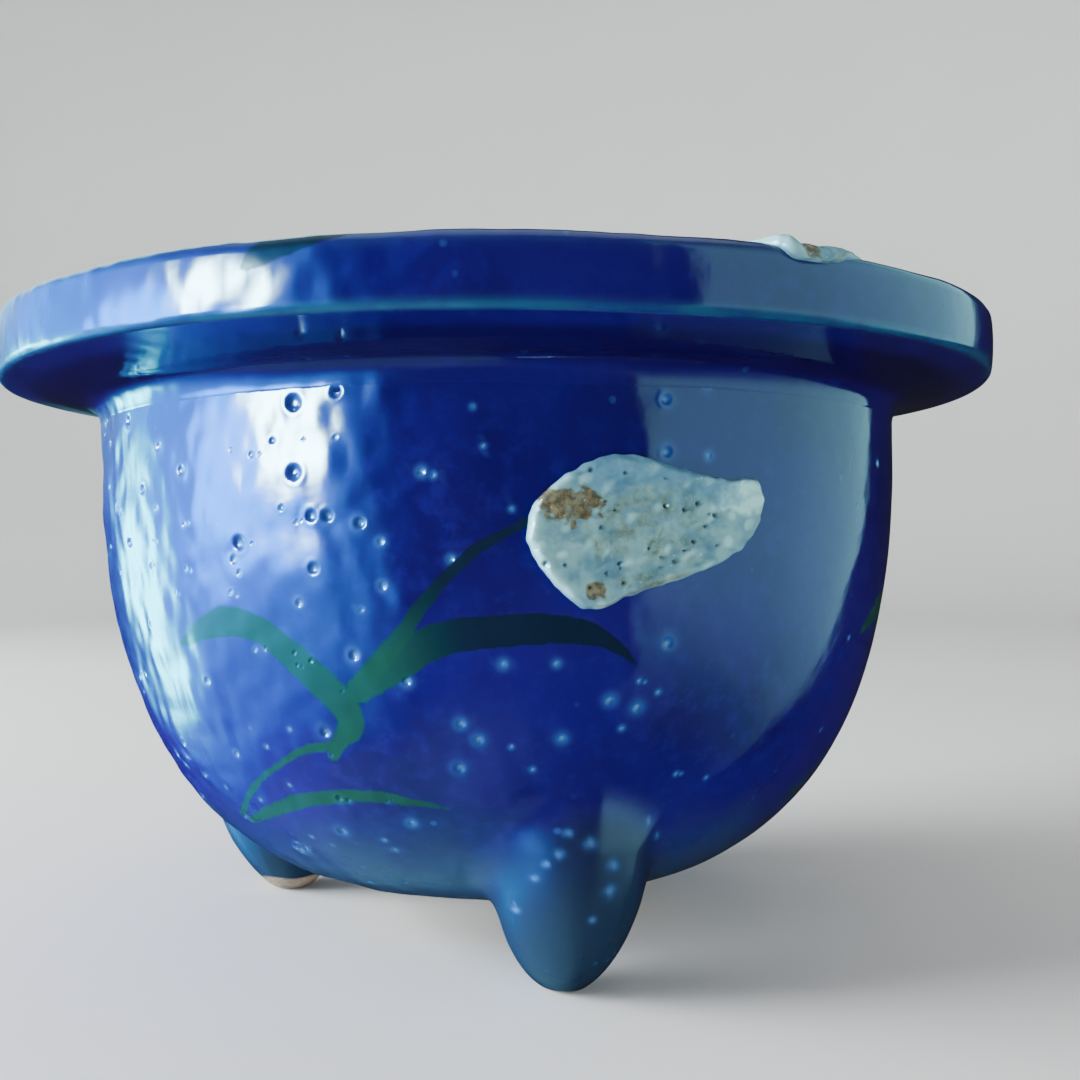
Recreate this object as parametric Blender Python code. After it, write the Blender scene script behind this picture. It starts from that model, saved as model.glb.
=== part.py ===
"""A round glazed bonsai pot on three lobed feet, 150 mm across its wide flat rim.

The origin is on the pot's axis, on the surface that the feet stand on. +Z is up and -Y is the front.
Clay pieces that a potter lutes together are separate solids, with a joint line of SLIP_GAP between them.
"""

import math

import bpy
from mathutils import Vector

MM = 0.001

# Joints and turning
SLIP_GAP = 0.3 * MM
TURN_STEPS = 60
MERGE_DISTANCE = 0.01 * MM
SHARP_EDGE_DEGREES = 40

# Bowl: a superellipse turned about the axis, cut off flat at the base
WALL_RADIUS = 61.0 * MM
BELLY_TOP = 68.8 * MM
BELLY_BOTTOM = 6.5 * MM
BASE_HEIGHT = 8.0 * MM
HEIGHT_POWER = 1.92
RADIUS_POWER = 3.44
BELLY_STEPS = 11

# Inside of the bowl
MOUTH_RADIUS = 55.0 * MM
INSIDE_BOTTOM = 13.0 * MM
FLOOR_TOP = 14.5 * MM

# Floor disc, which rests on a ledge in the wall
LEDGE_TOP = 11.1 * MM
LEDGE_RADIUS = 19.3 * MM
DISC_RADIUS = 23.0 * MM
DRAIN_RADIUS = 11.0 * MM
DRAIN_EDGE_ROUND = 1.0 * MM

# Rim flange, seated on the wall over a tongue
NECK_HEIGHT = 78.0 * MM
RIM_RADIUS = 75.0 * MM
RIM_TOP = 88.8 * MM
RIM_EDGE_BOTTOM = 81.1 * MM
RIM_TOP_ROUND = 2.0 * MM
RIM_BOTTOM_ROUND = 0.8 * MM
TONGUE_INNER = 57.0 * MM
TONGUE_OUTER = 59.0 * MM
TONGUE_TOP = 82.0 * MM
ROUND_STEPS = 4
# How far the rim's lower edge turns under, in degrees, before the underside runs in to the wall
RIM_UNDERTURN_DEGREES = 75

# Feet: egg-shaped lobes that lean in towards a small flat sole
FOOT_AZIMUTHS = {"foot_front": 12.3, "foot_right": 132.3, "foot_left": -107.7}
FOOT_BELLY_HEIGHT = 20.0 * MM
FOOT_BELLY_RADIUS = 41.5 * MM
FOOT_TIP_RADIUS = 38.3 * MM
FOOT_HALF_WIDTH = 10.8 * MM
FOOT_HALF_DEPTH = 11.0 * MM
FOOT_TOP = 29.5 * MM
FOOT_TIP_DEPTH = 0.6 * MM
FOOT_RINGS = 11
FOOT_SIDES = 24
# Above 1, this brings the levels closer together towards the sole, where the lobe narrows fastest
FOOT_LEVEL_POWER = 1.4

# Raised slip blossoms: an outline in millimetres about the blossom's middle, x along the wall, y up
BLOSSOM_OUTLINE = (
    (-14.6, 1.4), (-13.2, 4.0), (-8.6, 7.3), (-3.6, 8.7), (3.5, 7.1), (9.8, 5.9), (13.8, 6.1),
    (14.9, 3.2), (13.4, -0.8), (8.4, -4.0), (-2.0, -7.2), (-7.5, -8.9), (-11.6, -6.1), (-14.4, -2.2),
)
BLOSSOM_HEIGHT = 59.0 * MM
BLOSSOM_THICKNESS = 1.2 * MM
BLOSSOM_EDGE = 0.5 * MM
BLOSSOM_RINGS = (0.45, 0.8, 1.0)
BLOSSOM_CURVE_STEPS = 2
# Name: azimuth in degrees, scale along the wall, scale upwards
WALL_BLOSSOMS = {
    "blossom_front": (16.5, 1.0, 1.0),
    "blossom_right": (111.5, 0.92, 1.0),
    "blossom_left": (-128.5, -0.95, 0.95),
}
RIM_BLOSSOM_AZIMUTH = 31.0
RIM_BLOSSOM_RADIUS = 64.6 * MM
RIM_BLOSSOM_SCALE = 0.9

# Drain screen: a square plastic mesh that lies on the floor over the drain hole
SCREEN_HOLES = 7
SCREEN_PITCH = 4.2 * MM
SCREEN_BAR = 1.1 * MM
SCREEN_THICKNESS = 0.8 * MM

# Screen clip: one bent wire, whose legs go down through the mesh and turn out under the base
WIRE_RADIUS = 0.6 * MM
CLIP_LEG_X = 2 * SCREEN_PITCH
CLIP_BEND = 1.7 * MM
CLIP_TAIL_X = 17.0 * MM
# The right half of the loop that lies on the mesh, from the leg to the middle, in millimetres
CLIP_LOOP = ((11.6, 0.9), (13.9, -0.4), (13.9, -2.8), (11.6, -4.2), (8.0, -3.7), (4.0, -1.9))
CLIP_CURVE_STEPS = 4
CLIP_BEND_DEGREES = (0, 30, 60, 90)
WIRE_BEVEL_RESOLUTION = 2


def clear_scene():
    for obj in list(bpy.data.objects):
        bpy.data.objects.remove(obj, do_unlink=True)


def make_material(name, colour, roughness, metallic=0.0):
    material = bpy.data.materials.new(name)
    material.use_nodes = True
    shader = material.node_tree.nodes["Principled BSDF"]
    shader.inputs["Base Color"].default_value = (*colour, 1.0)
    shader.inputs["Roughness"].default_value = roughness
    shader.inputs["Metallic"].default_value = metallic
    return material


def cobalt_glaze(name):
    return make_material(name, (0.008, 0.016, 0.20), 0.12)


def slip_enamel(name):
    return make_material(name, (0.42, 0.52, 0.50), 0.3)


def bare_clay(name):
    return make_material(name, (0.40, 0.26, 0.16), 0.85)


def screen_plastic(name):
    return make_material(name, (0.02, 0.03, 0.025), 0.5)


def clip_aluminium(name):
    return make_material(name, (0.62, 0.63, 0.64), 0.35, metallic=1.0)


def add_object(name, data, material):
    obj = bpy.data.objects.new(name, data)
    data.materials.append(material)
    bpy.context.scene.collection.objects.link(obj)
    return obj


def add_mesh(name, points, faces, material):
    mesh = bpy.data.meshes.new(name)
    mesh.from_pydata(points, [], faces)
    mesh.validate()
    mesh.shade_smooth()
    mesh.set_sharp_from_angle(angle=math.radians(SHARP_EDGE_DEGREES))
    return add_object(name, mesh, material)


def turned(name, outline, material, closed=True):
    """Turns an outline of (radius, height) points, which runs down its outer side, about the axis."""
    mesh = bpy.data.meshes.new(name)
    count = len(outline)
    edges = [(i, i + 1) for i in range(count - 1)]
    if closed:
        edges.append((count - 1, 0))
    mesh.from_pydata([(r, 0.0, z) for r, z in outline], edges, [])
    obj = add_object(name, mesh, material)
    screw = obj.modifiers.new("turn", "SCREW")
    screw.steps = TURN_STEPS
    screw.render_steps = TURN_STEPS
    screw.use_merge_vertices = True
    screw.merge_threshold = MERGE_DISTANCE
    return obj


def belly_curve(radius, bottom, end_height, steps, outset=0.0):
    """Points down the superellipse from BELLY_TOP to end_height, moved out along its normal by outset."""
    depth = BELLY_TOP - bottom
    end = math.asin(((BELLY_TOP - end_height) / depth) ** (HEIGHT_POWER / 2))
    points = []
    for i in range(steps + 1):
        angle = end * i / steps
        across = math.cos(angle) ** (2 / RADIUS_POWER)
        down = math.sin(angle) ** (2 / HEIGHT_POWER)
        normal = Vector((
            RADIUS_POWER / radius * across ** (RADIUS_POWER - 1),
            -HEIGHT_POWER / depth * down ** (HEIGHT_POWER - 1),
        )).normalized()
        points.append((radius * across + outset * normal.x, BELLY_TOP - depth * down + outset * normal.y))
    return points


def wall_radius_at(height):
    down = max(0.0, (BELLY_TOP - height) / (BELLY_TOP - BELLY_BOTTOM))
    return WALL_RADIUS * (1 - down ** HEIGHT_POWER) ** (1 / RADIUS_POWER)


def arc(centre, radius, start, end, steps=ROUND_STEPS):
    """Points on a round corner of an outline, with the angles in degrees from the outward direction."""
    angles = [math.radians(start + (end - start) * i / steps) for i in range(steps + 1)]
    return [(centre[0] + radius * math.cos(a), centre[1] + radius * math.sin(a)) for a in angles]


def smooth_through(points, steps, closed=False):
    """A Catmull-Rom curve through the points, with steps points for each span."""
    points = [Vector(p) for p in points]
    count = len(points)
    spans = count if closed else count - 1
    found = []
    for i in range(spans):
        if closed:
            a, b, c, d = (points[(i + k - 1) % count] for k in range(4))
        else:
            a, b, c, d = (points[min(max(i + k - 1, 0), count - 1)] for k in range(4))
        for j in range(steps):
            t = j / steps
            bend = 2 * a - 5 * b + 4 * c - d
            twist = 3 * b - a - 3 * c + d
            found.append(0.5 * (2 * b + (c - a) * t + bend * t**2 + twist * t**3))
    return found if closed else found + [points[-1]]


def build_bowl_wall():
    outer = belly_curve(WALL_RADIUS, BELLY_BOTTOM, BASE_HEIGHT, BELLY_STEPS)
    inner = belly_curve(MOUTH_RADIUS, INSIDE_BOTTOM, FLOOR_TOP, BELLY_STEPS)
    rebate_radius = DISC_RADIUS + SLIP_GAP
    inner = [point for point in reversed(inner) if point[0] > rebate_radius]
    ledge = [
        (LEDGE_RADIUS, BASE_HEIGHT),
        (LEDGE_RADIUS, LEDGE_TOP),
        (rebate_radius, LEDGE_TOP),
        (rebate_radius, FLOOR_TOP),
    ]
    tongue = [
        (MOUTH_RADIUS, NECK_HEIGHT),
        (TONGUE_INNER, NECK_HEIGHT),
        (TONGUE_INNER, TONGUE_TOP),
        (TONGUE_OUTER, TONGUE_TOP),
        (TONGUE_OUTER, NECK_HEIGHT),
    ]
    outline = [(WALL_RADIUS, NECK_HEIGHT)] + outer + ledge + inner + tongue
    turned("bowl_wall", outline, cobalt_glaze("bowl_wall"))


def build_bowl_floor():
    boss_radius = LEDGE_RADIUS - SLIP_GAP
    disc_bottom = LEDGE_TOP + SLIP_GAP
    drain_corner = (DRAIN_RADIUS + DRAIN_EDGE_ROUND, FLOOR_TOP - DRAIN_EDGE_ROUND)
    outline = [
        (DISC_RADIUS, FLOOR_TOP),
        (DISC_RADIUS, disc_bottom),
        (boss_radius, disc_bottom),
        (boss_radius, BASE_HEIGHT),
        (DRAIN_RADIUS, BASE_HEIGHT),
    ]
    outline += arc(drain_corner, DRAIN_EDGE_ROUND, 180, 90)
    turned("bowl_floor", outline, bare_clay("bowl_floor"))


def build_rim_flange():
    seat = NECK_HEIGHT + SLIP_GAP
    groove_top = TONGUE_TOP + SLIP_GAP
    top_round = RIM_TOP_ROUND
    outline = arc((RIM_RADIUS - top_round, RIM_TOP - top_round), top_round, 90, 0)
    low_centre = (RIM_RADIUS - RIM_BOTTOM_ROUND, RIM_EDGE_BOTTOM + RIM_BOTTOM_ROUND)
    outline += arc(low_centre, RIM_BOTTOM_ROUND, 0, -RIM_UNDERTURN_DEGREES)
    outline += [
        (WALL_RADIUS, seat),
        (TONGUE_OUTER + SLIP_GAP, seat),
        (TONGUE_OUTER + SLIP_GAP, groove_top),
        (TONGUE_INNER - SLIP_GAP, groove_top),
        (TONGUE_INNER - SLIP_GAP, seat),
        (MOUTH_RADIUS, seat),
    ]
    outline += arc((MOUTH_RADIUS + top_round, RIM_TOP - top_round), top_round, 180, 90)
    turned("rim_flange", outline, cobalt_glaze("rim_flange"))


def foot_ring(height):
    """One level of a foot: a closed ring of points about the lobe's leaning centre line."""
    if height < FOOT_BELLY_HEIGHT:
        reach = (FOOT_BELLY_HEIGHT - height) / (FOOT_BELLY_HEIGHT + FOOT_TIP_DEPTH)
    else:
        reach = (height - FOOT_BELLY_HEIGHT) / (FOOT_TOP - FOOT_BELLY_HEIGHT + FOOT_TIP_DEPTH)
    swell = math.sqrt(1 - reach**2)
    lean = height / FOOT_BELLY_HEIGHT
    centre = FOOT_TIP_RADIUS + (FOOT_BELLY_RADIUS - FOOT_TIP_RADIUS) * lean
    ring = []
    for i in range(FOOT_SIDES):
        angle = 2 * math.pi * i / FOOT_SIDES
        across = FOOT_HALF_WIDTH * swell * math.sin(angle)
        outward = centre + FOOT_HALF_DEPTH * swell * math.cos(angle)
        ring.append((across, -outward, height))
    return ring


def lofted(name, rings, material):
    """A closed solid through rings of equally many points, from the lowest to the highest."""
    count = len(rings[0])
    points = [point for ring in rings for point in ring]
    faces = [tuple(reversed(range(count)))]
    for level in range(len(rings) - 1):
        low = level * count
        for i in range(count):
            after = (i + 1) % count
            faces.append((low + i, low + after, low + count + after, low + count + i))
    top = (len(rings) - 1) * count
    faces.append(tuple(range(top, top + count)))
    return add_mesh(name, points, faces, material)


def make_saddle_cutter():
    """The outside of the bowl grown by SLIP_GAP, which shapes the back of each foot."""
    outer = belly_curve(WALL_RADIUS, BELLY_BOTTOM, BASE_HEIGHT, BELLY_STEPS, SLIP_GAP)
    low = BASE_HEIGHT - SLIP_GAP
    outline = [(0.0, BELLY_TOP)] + outer + [(outer[-1][0], low), (0.0, low)]
    cutter = turned("saddle_cutter", outline, cobalt_glaze("saddle_cutter"), closed=False)
    cutter.hide_render = True
    cutter.display_type = "WIRE"
    return cutter


def build_feet(cutter):
    for name, azimuth in FOOT_AZIMUTHS.items():
        levels = [FOOT_TOP * (i / (FOOT_RINGS - 1)) ** FOOT_LEVEL_POWER for i in range(FOOT_RINGS)]
        foot = lofted(name, [foot_ring(level) for level in levels], cobalt_glaze(name))
        foot.rotation_euler.z = math.radians(azimuth)
        saddle = foot.modifiers.new("saddle", "BOOLEAN")
        saddle.operation = "DIFFERENCE"
        saddle.solver = "EXACT"
        saddle.object = cutter


def wall_point(azimuth, along, up, lift):
    """A point lift outside the wall, along the wall and up from a blossom's middle."""
    height = BLOSSOM_HEIGHT + up
    radius = wall_radius_at(height) + lift
    angle = math.radians(azimuth) + along / WALL_RADIUS
    return (radius * math.sin(angle), -radius * math.cos(angle), height)


def rim_point(azimuth, along, up, lift):
    """A point lift above the flat rim. The blossom's upward direction points inwards here."""
    radius = RIM_BLOSSOM_RADIUS - up
    angle = math.radians(azimuth) + along / RIM_BLOSSOM_RADIUS
    return (radius * math.sin(angle), -radius * math.cos(angle), RIM_TOP + lift)


def build_blossom(name, place, azimuth, scale_x, scale_y):
    """A low closed mound with the blossom's outline, SLIP_GAP clear of the surface under it."""
    curve = smooth_through(BLOSSOM_OUTLINE, BLOSSOM_CURVE_STEPS, closed=True)
    outline = [(x * MM, y * MM) for x, y in curve]
    if scale_x * scale_y < 0:
        outline.reverse()
    outline = [(x * scale_x, y * scale_y) for x, y in outline]
    count = len(outline)
    points = [place(azimuth, 0.0, 0.0, SLIP_GAP)]
    for size in BLOSSOM_RINGS:
        points += [place(azimuth, x * size, y * size, SLIP_GAP) for x, y in outline]
    for size in reversed(BLOSSOM_RINGS):
        swell = BLOSSOM_THICKNESS - BLOSSOM_EDGE
        lift = SLIP_GAP + BLOSSOM_EDGE + swell * math.sqrt(1 - size**2)
        points += [place(azimuth, x * size, y * size, lift) for x, y in outline]
    points.append(place(azimuth, 0.0, 0.0, SLIP_GAP + BLOSSOM_THICKNESS))
    last = len(points) - 1
    faces = []
    for i in range(count):
        after = (i + 1) % count
        faces.append((0, 1 + i, 1 + after))
        for ring in range(2 * len(BLOSSOM_RINGS) - 1):
            low = 1 + ring * count
            faces.append((low + i, low + count + i, low + count + after, low + after))
        faces.append((last, last - count + after, last - count + i))
    return add_mesh(name, points, faces, slip_enamel(name))


def build_blossoms():
    for name, (azimuth, scale_x, scale_y) in WALL_BLOSSOMS.items():
        build_blossom(name, wall_point, azimuth, scale_x, scale_y)
    scale = RIM_BLOSSOM_SCALE
    build_blossom("blossom_rim", rim_point, RIM_BLOSSOM_AZIMUTH, scale, scale)


def build_drain_screen():
    bottom = FLOOR_TOP + SLIP_GAP
    start = -(SCREEN_HOLES * SCREEN_PITCH + SCREEN_BAR) / 2
    lines = []
    for i in range(SCREEN_HOLES + 1):
        lines += [start + i * SCREEN_PITCH, start + i * SCREEN_PITCH + SCREEN_BAR]
    count = len(lines)
    points = [(x, y, bottom) for y in lines for x in lines]
    faces = []
    for j in range(count - 1):
        for i in range(count - 1):
            # Every other line starts a bar, and a cell between bars both ways is a hole
            if i % 2 == 0 or j % 2 == 0:
                corner = j * count + i
                faces.append((corner, corner + 1, corner + count + 1, corner + count))
    screen = add_mesh("drain_screen", points, faces, screen_plastic("drain_screen"))
    thickness = screen.modifiers.new("thickness", "SOLIDIFY")
    thickness.thickness = SCREEN_THICKNESS
    thickness.offset = 1.0


def clip_path():
    """The wire's centre line, from the tail of one leg over the mesh to the tail of the other."""
    lying = FLOOR_TOP + 2 * SLIP_GAP + SCREEN_THICKNESS + WIRE_RADIUS
    under = BASE_HEIGHT - SLIP_GAP - WIRE_RADIUS
    half = [Vector((CLIP_TAIL_X, 0.0, under))]
    # Round the bend under the base, up the leg, and round the bend on to the mesh
    for angle in reversed(CLIP_BEND_DEGREES):
        turn = math.radians(angle)
        half.append(Vector((
            CLIP_LEG_X + CLIP_BEND * (1 - math.cos(turn)),
            0.0,
            under + CLIP_BEND * (1 - math.sin(turn)),
        )))
    for angle in CLIP_BEND_DEGREES:
        turn = math.radians(angle)
        half.append(Vector((
            CLIP_LEG_X + CLIP_BEND * (1 - math.cos(turn)),
            0.0,
            lying - CLIP_BEND * (1 - math.sin(turn)),
        )))
    loop = [half[-1]] + [Vector((x * MM, y * MM, lying)) for x, y in CLIP_LOOP]
    loop.append(Vector((0.0, 0.0, lying)))
    half += smooth_through(loop, CLIP_CURVE_STEPS)[1:]
    other = [Vector((-p.x, -p.y, p.z)) for p in reversed(half[:-1])]
    return half + other


def build_screen_clip():
    path = clip_path()
    curve = bpy.data.curves.new("screen_clip", "CURVE")
    curve.dimensions = "3D"
    curve.bevel_depth = WIRE_RADIUS
    curve.bevel_resolution = WIRE_BEVEL_RESOLUTION
    curve.use_fill_caps = True
    spline = curve.splines.new("POLY")
    spline.points.add(len(path) - 1)
    for point, place in zip(spline.points, path):
        point.co = (*place, 1.0)
    add_object("screen_clip", curve, clip_aluminium("screen_clip"))


def main():
    clear_scene()
    build_bowl_wall()
    build_bowl_floor()
    build_rim_flange()
    build_feet(make_saddle_cutter())
    build_blossoms()
    build_drain_screen()
    build_screen_clip()


main()
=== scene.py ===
"""The looks of the glazed bonsai pot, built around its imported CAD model.

Everything is in metres in the CAD model's frame: the axis is Z, the feet stand on z = 0 and the front is -Y.
Shape functions work in millimetres, and an azimuth is in degrees from the front, positive towards +X.
"""

import math

import bpy
import numpy as np
from mathutils import Euler, Matrix, Vector


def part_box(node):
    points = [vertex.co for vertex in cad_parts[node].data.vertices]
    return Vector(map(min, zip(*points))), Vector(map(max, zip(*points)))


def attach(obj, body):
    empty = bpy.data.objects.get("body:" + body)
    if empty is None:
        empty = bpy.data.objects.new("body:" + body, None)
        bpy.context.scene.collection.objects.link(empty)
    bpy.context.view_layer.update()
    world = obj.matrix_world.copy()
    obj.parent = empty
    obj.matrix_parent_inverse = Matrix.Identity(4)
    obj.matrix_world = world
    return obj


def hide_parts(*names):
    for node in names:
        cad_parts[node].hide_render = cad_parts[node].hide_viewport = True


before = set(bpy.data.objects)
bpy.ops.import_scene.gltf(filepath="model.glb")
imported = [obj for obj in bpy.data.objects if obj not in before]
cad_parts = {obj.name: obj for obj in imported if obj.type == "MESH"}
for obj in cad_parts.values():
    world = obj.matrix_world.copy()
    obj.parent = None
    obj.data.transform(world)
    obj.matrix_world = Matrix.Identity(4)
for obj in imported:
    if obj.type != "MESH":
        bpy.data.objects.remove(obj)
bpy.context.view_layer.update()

MM = 0.001
SEED = 41

# Sizes that the CAD model gives, in millimetres
RIM_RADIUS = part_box("rim_flange")[1].x / MM
RIM_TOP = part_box("rim_flange")[1].z / MM
WALL_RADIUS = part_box("bowl_wall")[1].x / MM
BASE_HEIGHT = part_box("bowl_wall")[0].z / MM
FLOOR_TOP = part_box("bowl_floor")[1].z / MM

# The bowl is the CAD model's superellipse, turned about the axis, and a hair fuller low down
BELLY_TOP = 68.8
BELLY_BOTTOM = 6.5
HEIGHT_POWER = 2.06
RADIUS_POWER = 3.44
NECK_HEIGHT = 78.0
MOUTH_RADIUS = 55.0
INSIDE_BOTTOM = 13.0
LEDGE_RADIUS = 19.3
DISC_RADIUS = 23.0
DRAIN_RADIUS = 11.0
RIM_EDGE_BOTTOM = 81.1
# How much taller than the CAD's the hand-thrown rim is, in mm: at its lowest, and more than that away from the
# azimuth where it is lowest
RIM_RISE = 0.3
RIM_RISE_MORE = 0.65
RIM_LOWEST = 8.0
# How much its outer edge waves up and down, in mm
RIM_WARP = 0.22

# Blossoms and the brush strokes beside them
BLOSSOM_OUTLINE = (
    (-14.6, 1.4), (-13.2, 4.0), (-8.6, 7.3), (-3.6, 8.7), (3.5, 7.1), (9.8, 5.9), (13.8, 6.1),
    (14.9, 3.2), (13.4, -0.8), (8.4, -4.0), (-2.0, -7.2), (-7.5, -8.9), (-11.6, -6.1), (-14.4, -2.2),
)
# Open bubbles in the enamel: x, y from the blossom's middle and radius, in mm
BLOSSOM_PITS = (
    (-7.7, 6.8, 0.28), (-3.6, 6.5, 0.22), (1.2, 2.8, 0.28), (3.7, 2.4, 0.25), (5.4, 3.1, 0.28), (7.7, 1.8, 0.38),
    (6.3, 0.5, 0.26), (-10.6, -3.8, 0.28), (-4.2, -3.7, 0.3), (-3.7, -5.9, 0.25), (3.8, -2.3, 0.22),
    (2.6, -3.5, 0.26), (-0.7, -2.0, 0.2), (1.0, -3.0, 0.2), (-6.0, 3.3, 0.25), (-12.8, -3.6, 0.4),
)
BLOSSOM_HEIGHT = 59.0
# Rings from the blossom's middle to its edge, and points along the edge for each corner of the outline
BLOSSOM_RINGS = 56
BLOSSOM_STEPS = 16
# How far a blossom's back lies under the glaze, in mm
BLOSSOM_ROOT = 0.35
# Azimuth of each motif, its scale along the wall and upwards
MOTIFS = {
    "blossom_front": (16.5, 1.0, 1.0),
    "blossom_right": (111.5, 0.92, 1.0),
    "blossom_left": (-128.5, -0.95, 0.95),
}
RIM_BLOSSOM_AZIMUTH = 31.0
RIM_BLOSSOM_RADIUS = 64.6
RIM_BLOSSOM_SCALE = 0.9
RIM_BLOSSOM_DROOP = 1.75
RIM_BLOSSOM_REACH = 11.3

# Strokes: azimuth in degrees and height in mm from the blossom's middle, half-width in mm
STROKES = {
    "leaf_left": (
        (-60.0, -13.5, 0.6), (-52.0, -10.5, 1.9), (-46.5, -11.0, 1.8), (-42.5, -13.5, 1.9),
        (-39.0, -16.5, 2.1), (-36.0, -19.5, 2.1), (-35.0, -22.0, 1.9), (-35.5, -24.0, 1.2),
    ),
    "leaf_right": (
        (-34.0, -18.5, 1.6), (-28.5, -15.0, 2.1), (-24.5, -12.5, 2.1), (-20.0, -11.5, 2.0),
        (-12.0, -11.0, 1.85), (-7.5, -11.5, 1.5), (-4.0, -13.0, 0.9), (-1.0, -15.5, 0.25),
    ),
    "stem": (
        (-33.0, -17.5, 1.5), (-28.0, -12.0, 1.15), (-25.5, -8.5, 0.9), (-22.0, -4.5, 0.8),
        (-18.5, -1.5, 0.7), (-13.0, 1.5, 0.6),
    ),
    "fork": ((-35.5, -22.5, 1.4), (-37.0, -24.5, 1.2), (-38.5, -26.5, 0.8)),
    "twig": (
        (-38.0, -25.0, 0.8), (-43.0, -26.0, 0.6), (-47.0, -28.0, 0.5), (-53.0, -31.0, 0.5), (-62.5, -37.0, 0.55),
    ),
    "leaf_low": (
        (-61.0, -37.5, 0.5), (-51.0, -34.5, 1.0), (-43.5, -32.5, 1.0), (-33.5, -31.5, 0.85), (-23.5, -33.0, 0.2),
    ),
}
# Strokes on the rim: azimuth in degrees, mm outwards from the blossom's middle, half-width in mm
RIM_STROKES = {
    "rim_stem": (
        (23.0, 1.0, 0.9), (12.0, -1.5, 0.8), (0.0, -1.0, 0.7), (-12.0, 2.0, 0.65), (-22.0, 5.5, 0.5),
    ),
    "rim_leaf": (
        (2.0, -0.5, 0.9), (-4.0, 3.5, 1.9), (-11.0, 7.0, 2.3), (-17.0, 10.0, 2.0), (-20.5, 12.5, 0.8),
    ),
    "rim_leaf_in": ((-2.0, -1.5, 0.8), (-8.0, -4.0, 1.8), (-16.0, -5.5, 2.0), (-24.0, -4.0, 0.6)),
}
# Strokes that darken along their length as painted shade, and strokes that are dark all along
SHADED_STROKES = ("leaf_right", "stem")
DARK_STROKES = tuple(RIM_STROKES)
# How far from a stroke, in mm, its field is kept, and the field of a place that is farther than that
STROKE_REACH = 4.0
NO_STROKE = (STROKE_REACH, -STROKE_REACH, 0.0)

# The larger burst bubbles in the front's glaze: azimuth, height, radius in mm
FRONT_PITS = (
    (-23, 74, 1.3), (-23, 66, 1.25), (-21, 61, 0.95), (-19, 61, 0.9), (-31, 58, 1.2), (-21, 55, 0.9),
    (-40, 67, 0.9), (-13, 53, 0.6), (-17, 45, 0.8), (-11, 42, 0.65), (-13, 58, 0.5), (0, 44, 0.6), (6, 44, 0.5),
    (-5, 37, 0.7), (-3, 35, 0.75), (-5.5, 31.5, 0.85), (7, 35, 0.7), (12.5, 39.5, 0.75), (16, 38.5, 0.75),
    (18, 74, 0.8), (18, 68, 0.8), (19, 46, 0.8), (23, 76, 0.6), (8, 26, 0.8), (4, 24.5, 0.6), (-13, 24, 0.7),
)
# A pit's depth and its collar's height, for each mm of its radius, and how far from it the mesh is finer
PIT_DEPTH = 0.30
PIT_COLLAR = 0.025
PIT_FINE_REACH = 1.5
# Number of small pits all round
OTHER_PITS = 260
# Azimuth at which the glaze has boiled most
KILN_SIDE = -58.0
# The surface's unevenness in mm: of the hand-thrown form, of swells and of ripples in the glaze, and how much
# stronger the last two are where it has boiled
HAND_WOBBLE = 0.14
GLAZE_SWELL = 0.035
GLAZE_RIPPLE = 0.008
BOILED_GAIN = 3.2

# Columns of the meshes round the axis
WALL_COLUMNS = 380
RIM_COLUMNS = 480
FLOOR_COLUMNS = 180

# Feet: azimuths, how high the clay is bare, and the lobe's place and half-sizes
FEET = {"foot_front": 11.6, "foot_right": 132.0, "foot_left": -108.0}
BARE_TOE = {"foot_front": 0.5, "foot_right": 1.6, "foot_left": 2.6}
FOOT_BELLY_HEIGHT = 20.0
FOOT_BELLY_RADIUS = 41.5
FOOT_TIP_RADIUS = 38.3
FOOT_HALF_WIDTH = 10.3
FOOT_HALF_DEPTH = 11.0
FOOT_HALF_RISE = 9.8
FOOT_HALF_DROP = 20.6
FOOT_BLEND = 3.8
# A foot's patch: a point inside the lobe that its rays start from, spokes, rings, and how far it reaches past
# the blend, in mm and degrees
FOOT_START = (0.0, -37.5, 17.0)
FOOT_SPOKES = 150
FOOT_RINGS = 76
FOOT_PAST_BLEND = 0.7
FOOT_PAST_ANGLE = 2

# Bubbles in the glaze of each foot: across and up from its tip, and radius, in mm
FOOT_PITS = (
    (-0.3, 22.0, 0.75), (-3.9, 20.7, 0.5), (-5.4, 19.4, 0.4), (2.6, 19.1, 0.7), (-3.0, 23.3, 0.5), (7.7, 23.6, 0.5),
    (9.6, 21.3, 0.5), (0.4, 12.2, 0.5), (2.3, 15.8, 0.8), (-8.0, 12.7, 0.4), (-6.5, 17.5, 0.4),
)

# Gap between pieces that touch, in mm
PIECE_GAP = 0.3
# Drain screen and its clip
SCREEN_HOLES = 7
SCREEN_PITCH = 4.2
SCREEN_BAR = 1.1
SCREEN_THICKNESS = 0.8
SCREEN_BOTTOM = FLOOR_TOP + PIECE_GAP
WIRE_RADIUS = 0.6
CLIP_LEG_X = 2 * SCREEN_PITCH
CLIP_BEND = 1.7
CLIP_TAIL_X = 17.0
CLIP_LOOP = ((11.6, 0.9), (13.9, -0.4), (13.9, -2.8), (11.6, -4.2), (8.0, -3.7), (4.0, -1.9))


# ---------------------------------------------------------------- smooth fields and curves


def waves(seed, shortest, longest, count=24):
    """A smooth random field over points in mm, about -1 to 1: sine waves in random directions."""
    rng = np.random.default_rng(SEED + seed)
    directions = rng.normal(size=(count, 3))
    directions /= np.linalg.norm(directions, axis=1)[:, None]
    steps = directions * (2 * math.pi / rng.uniform(shortest, longest, count))[:, None]
    phases = rng.uniform(0, 2 * math.pi, count)

    def field(points):
        return np.sin(points @ steps.T + phases).sum(-1) / math.sqrt(2 * count)

    return field


def smoothstep(value, low, high):
    t = np.clip((value - low) / (high - low), 0.0, 1.0)
    return t * t * (3 - 2 * t)


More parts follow.
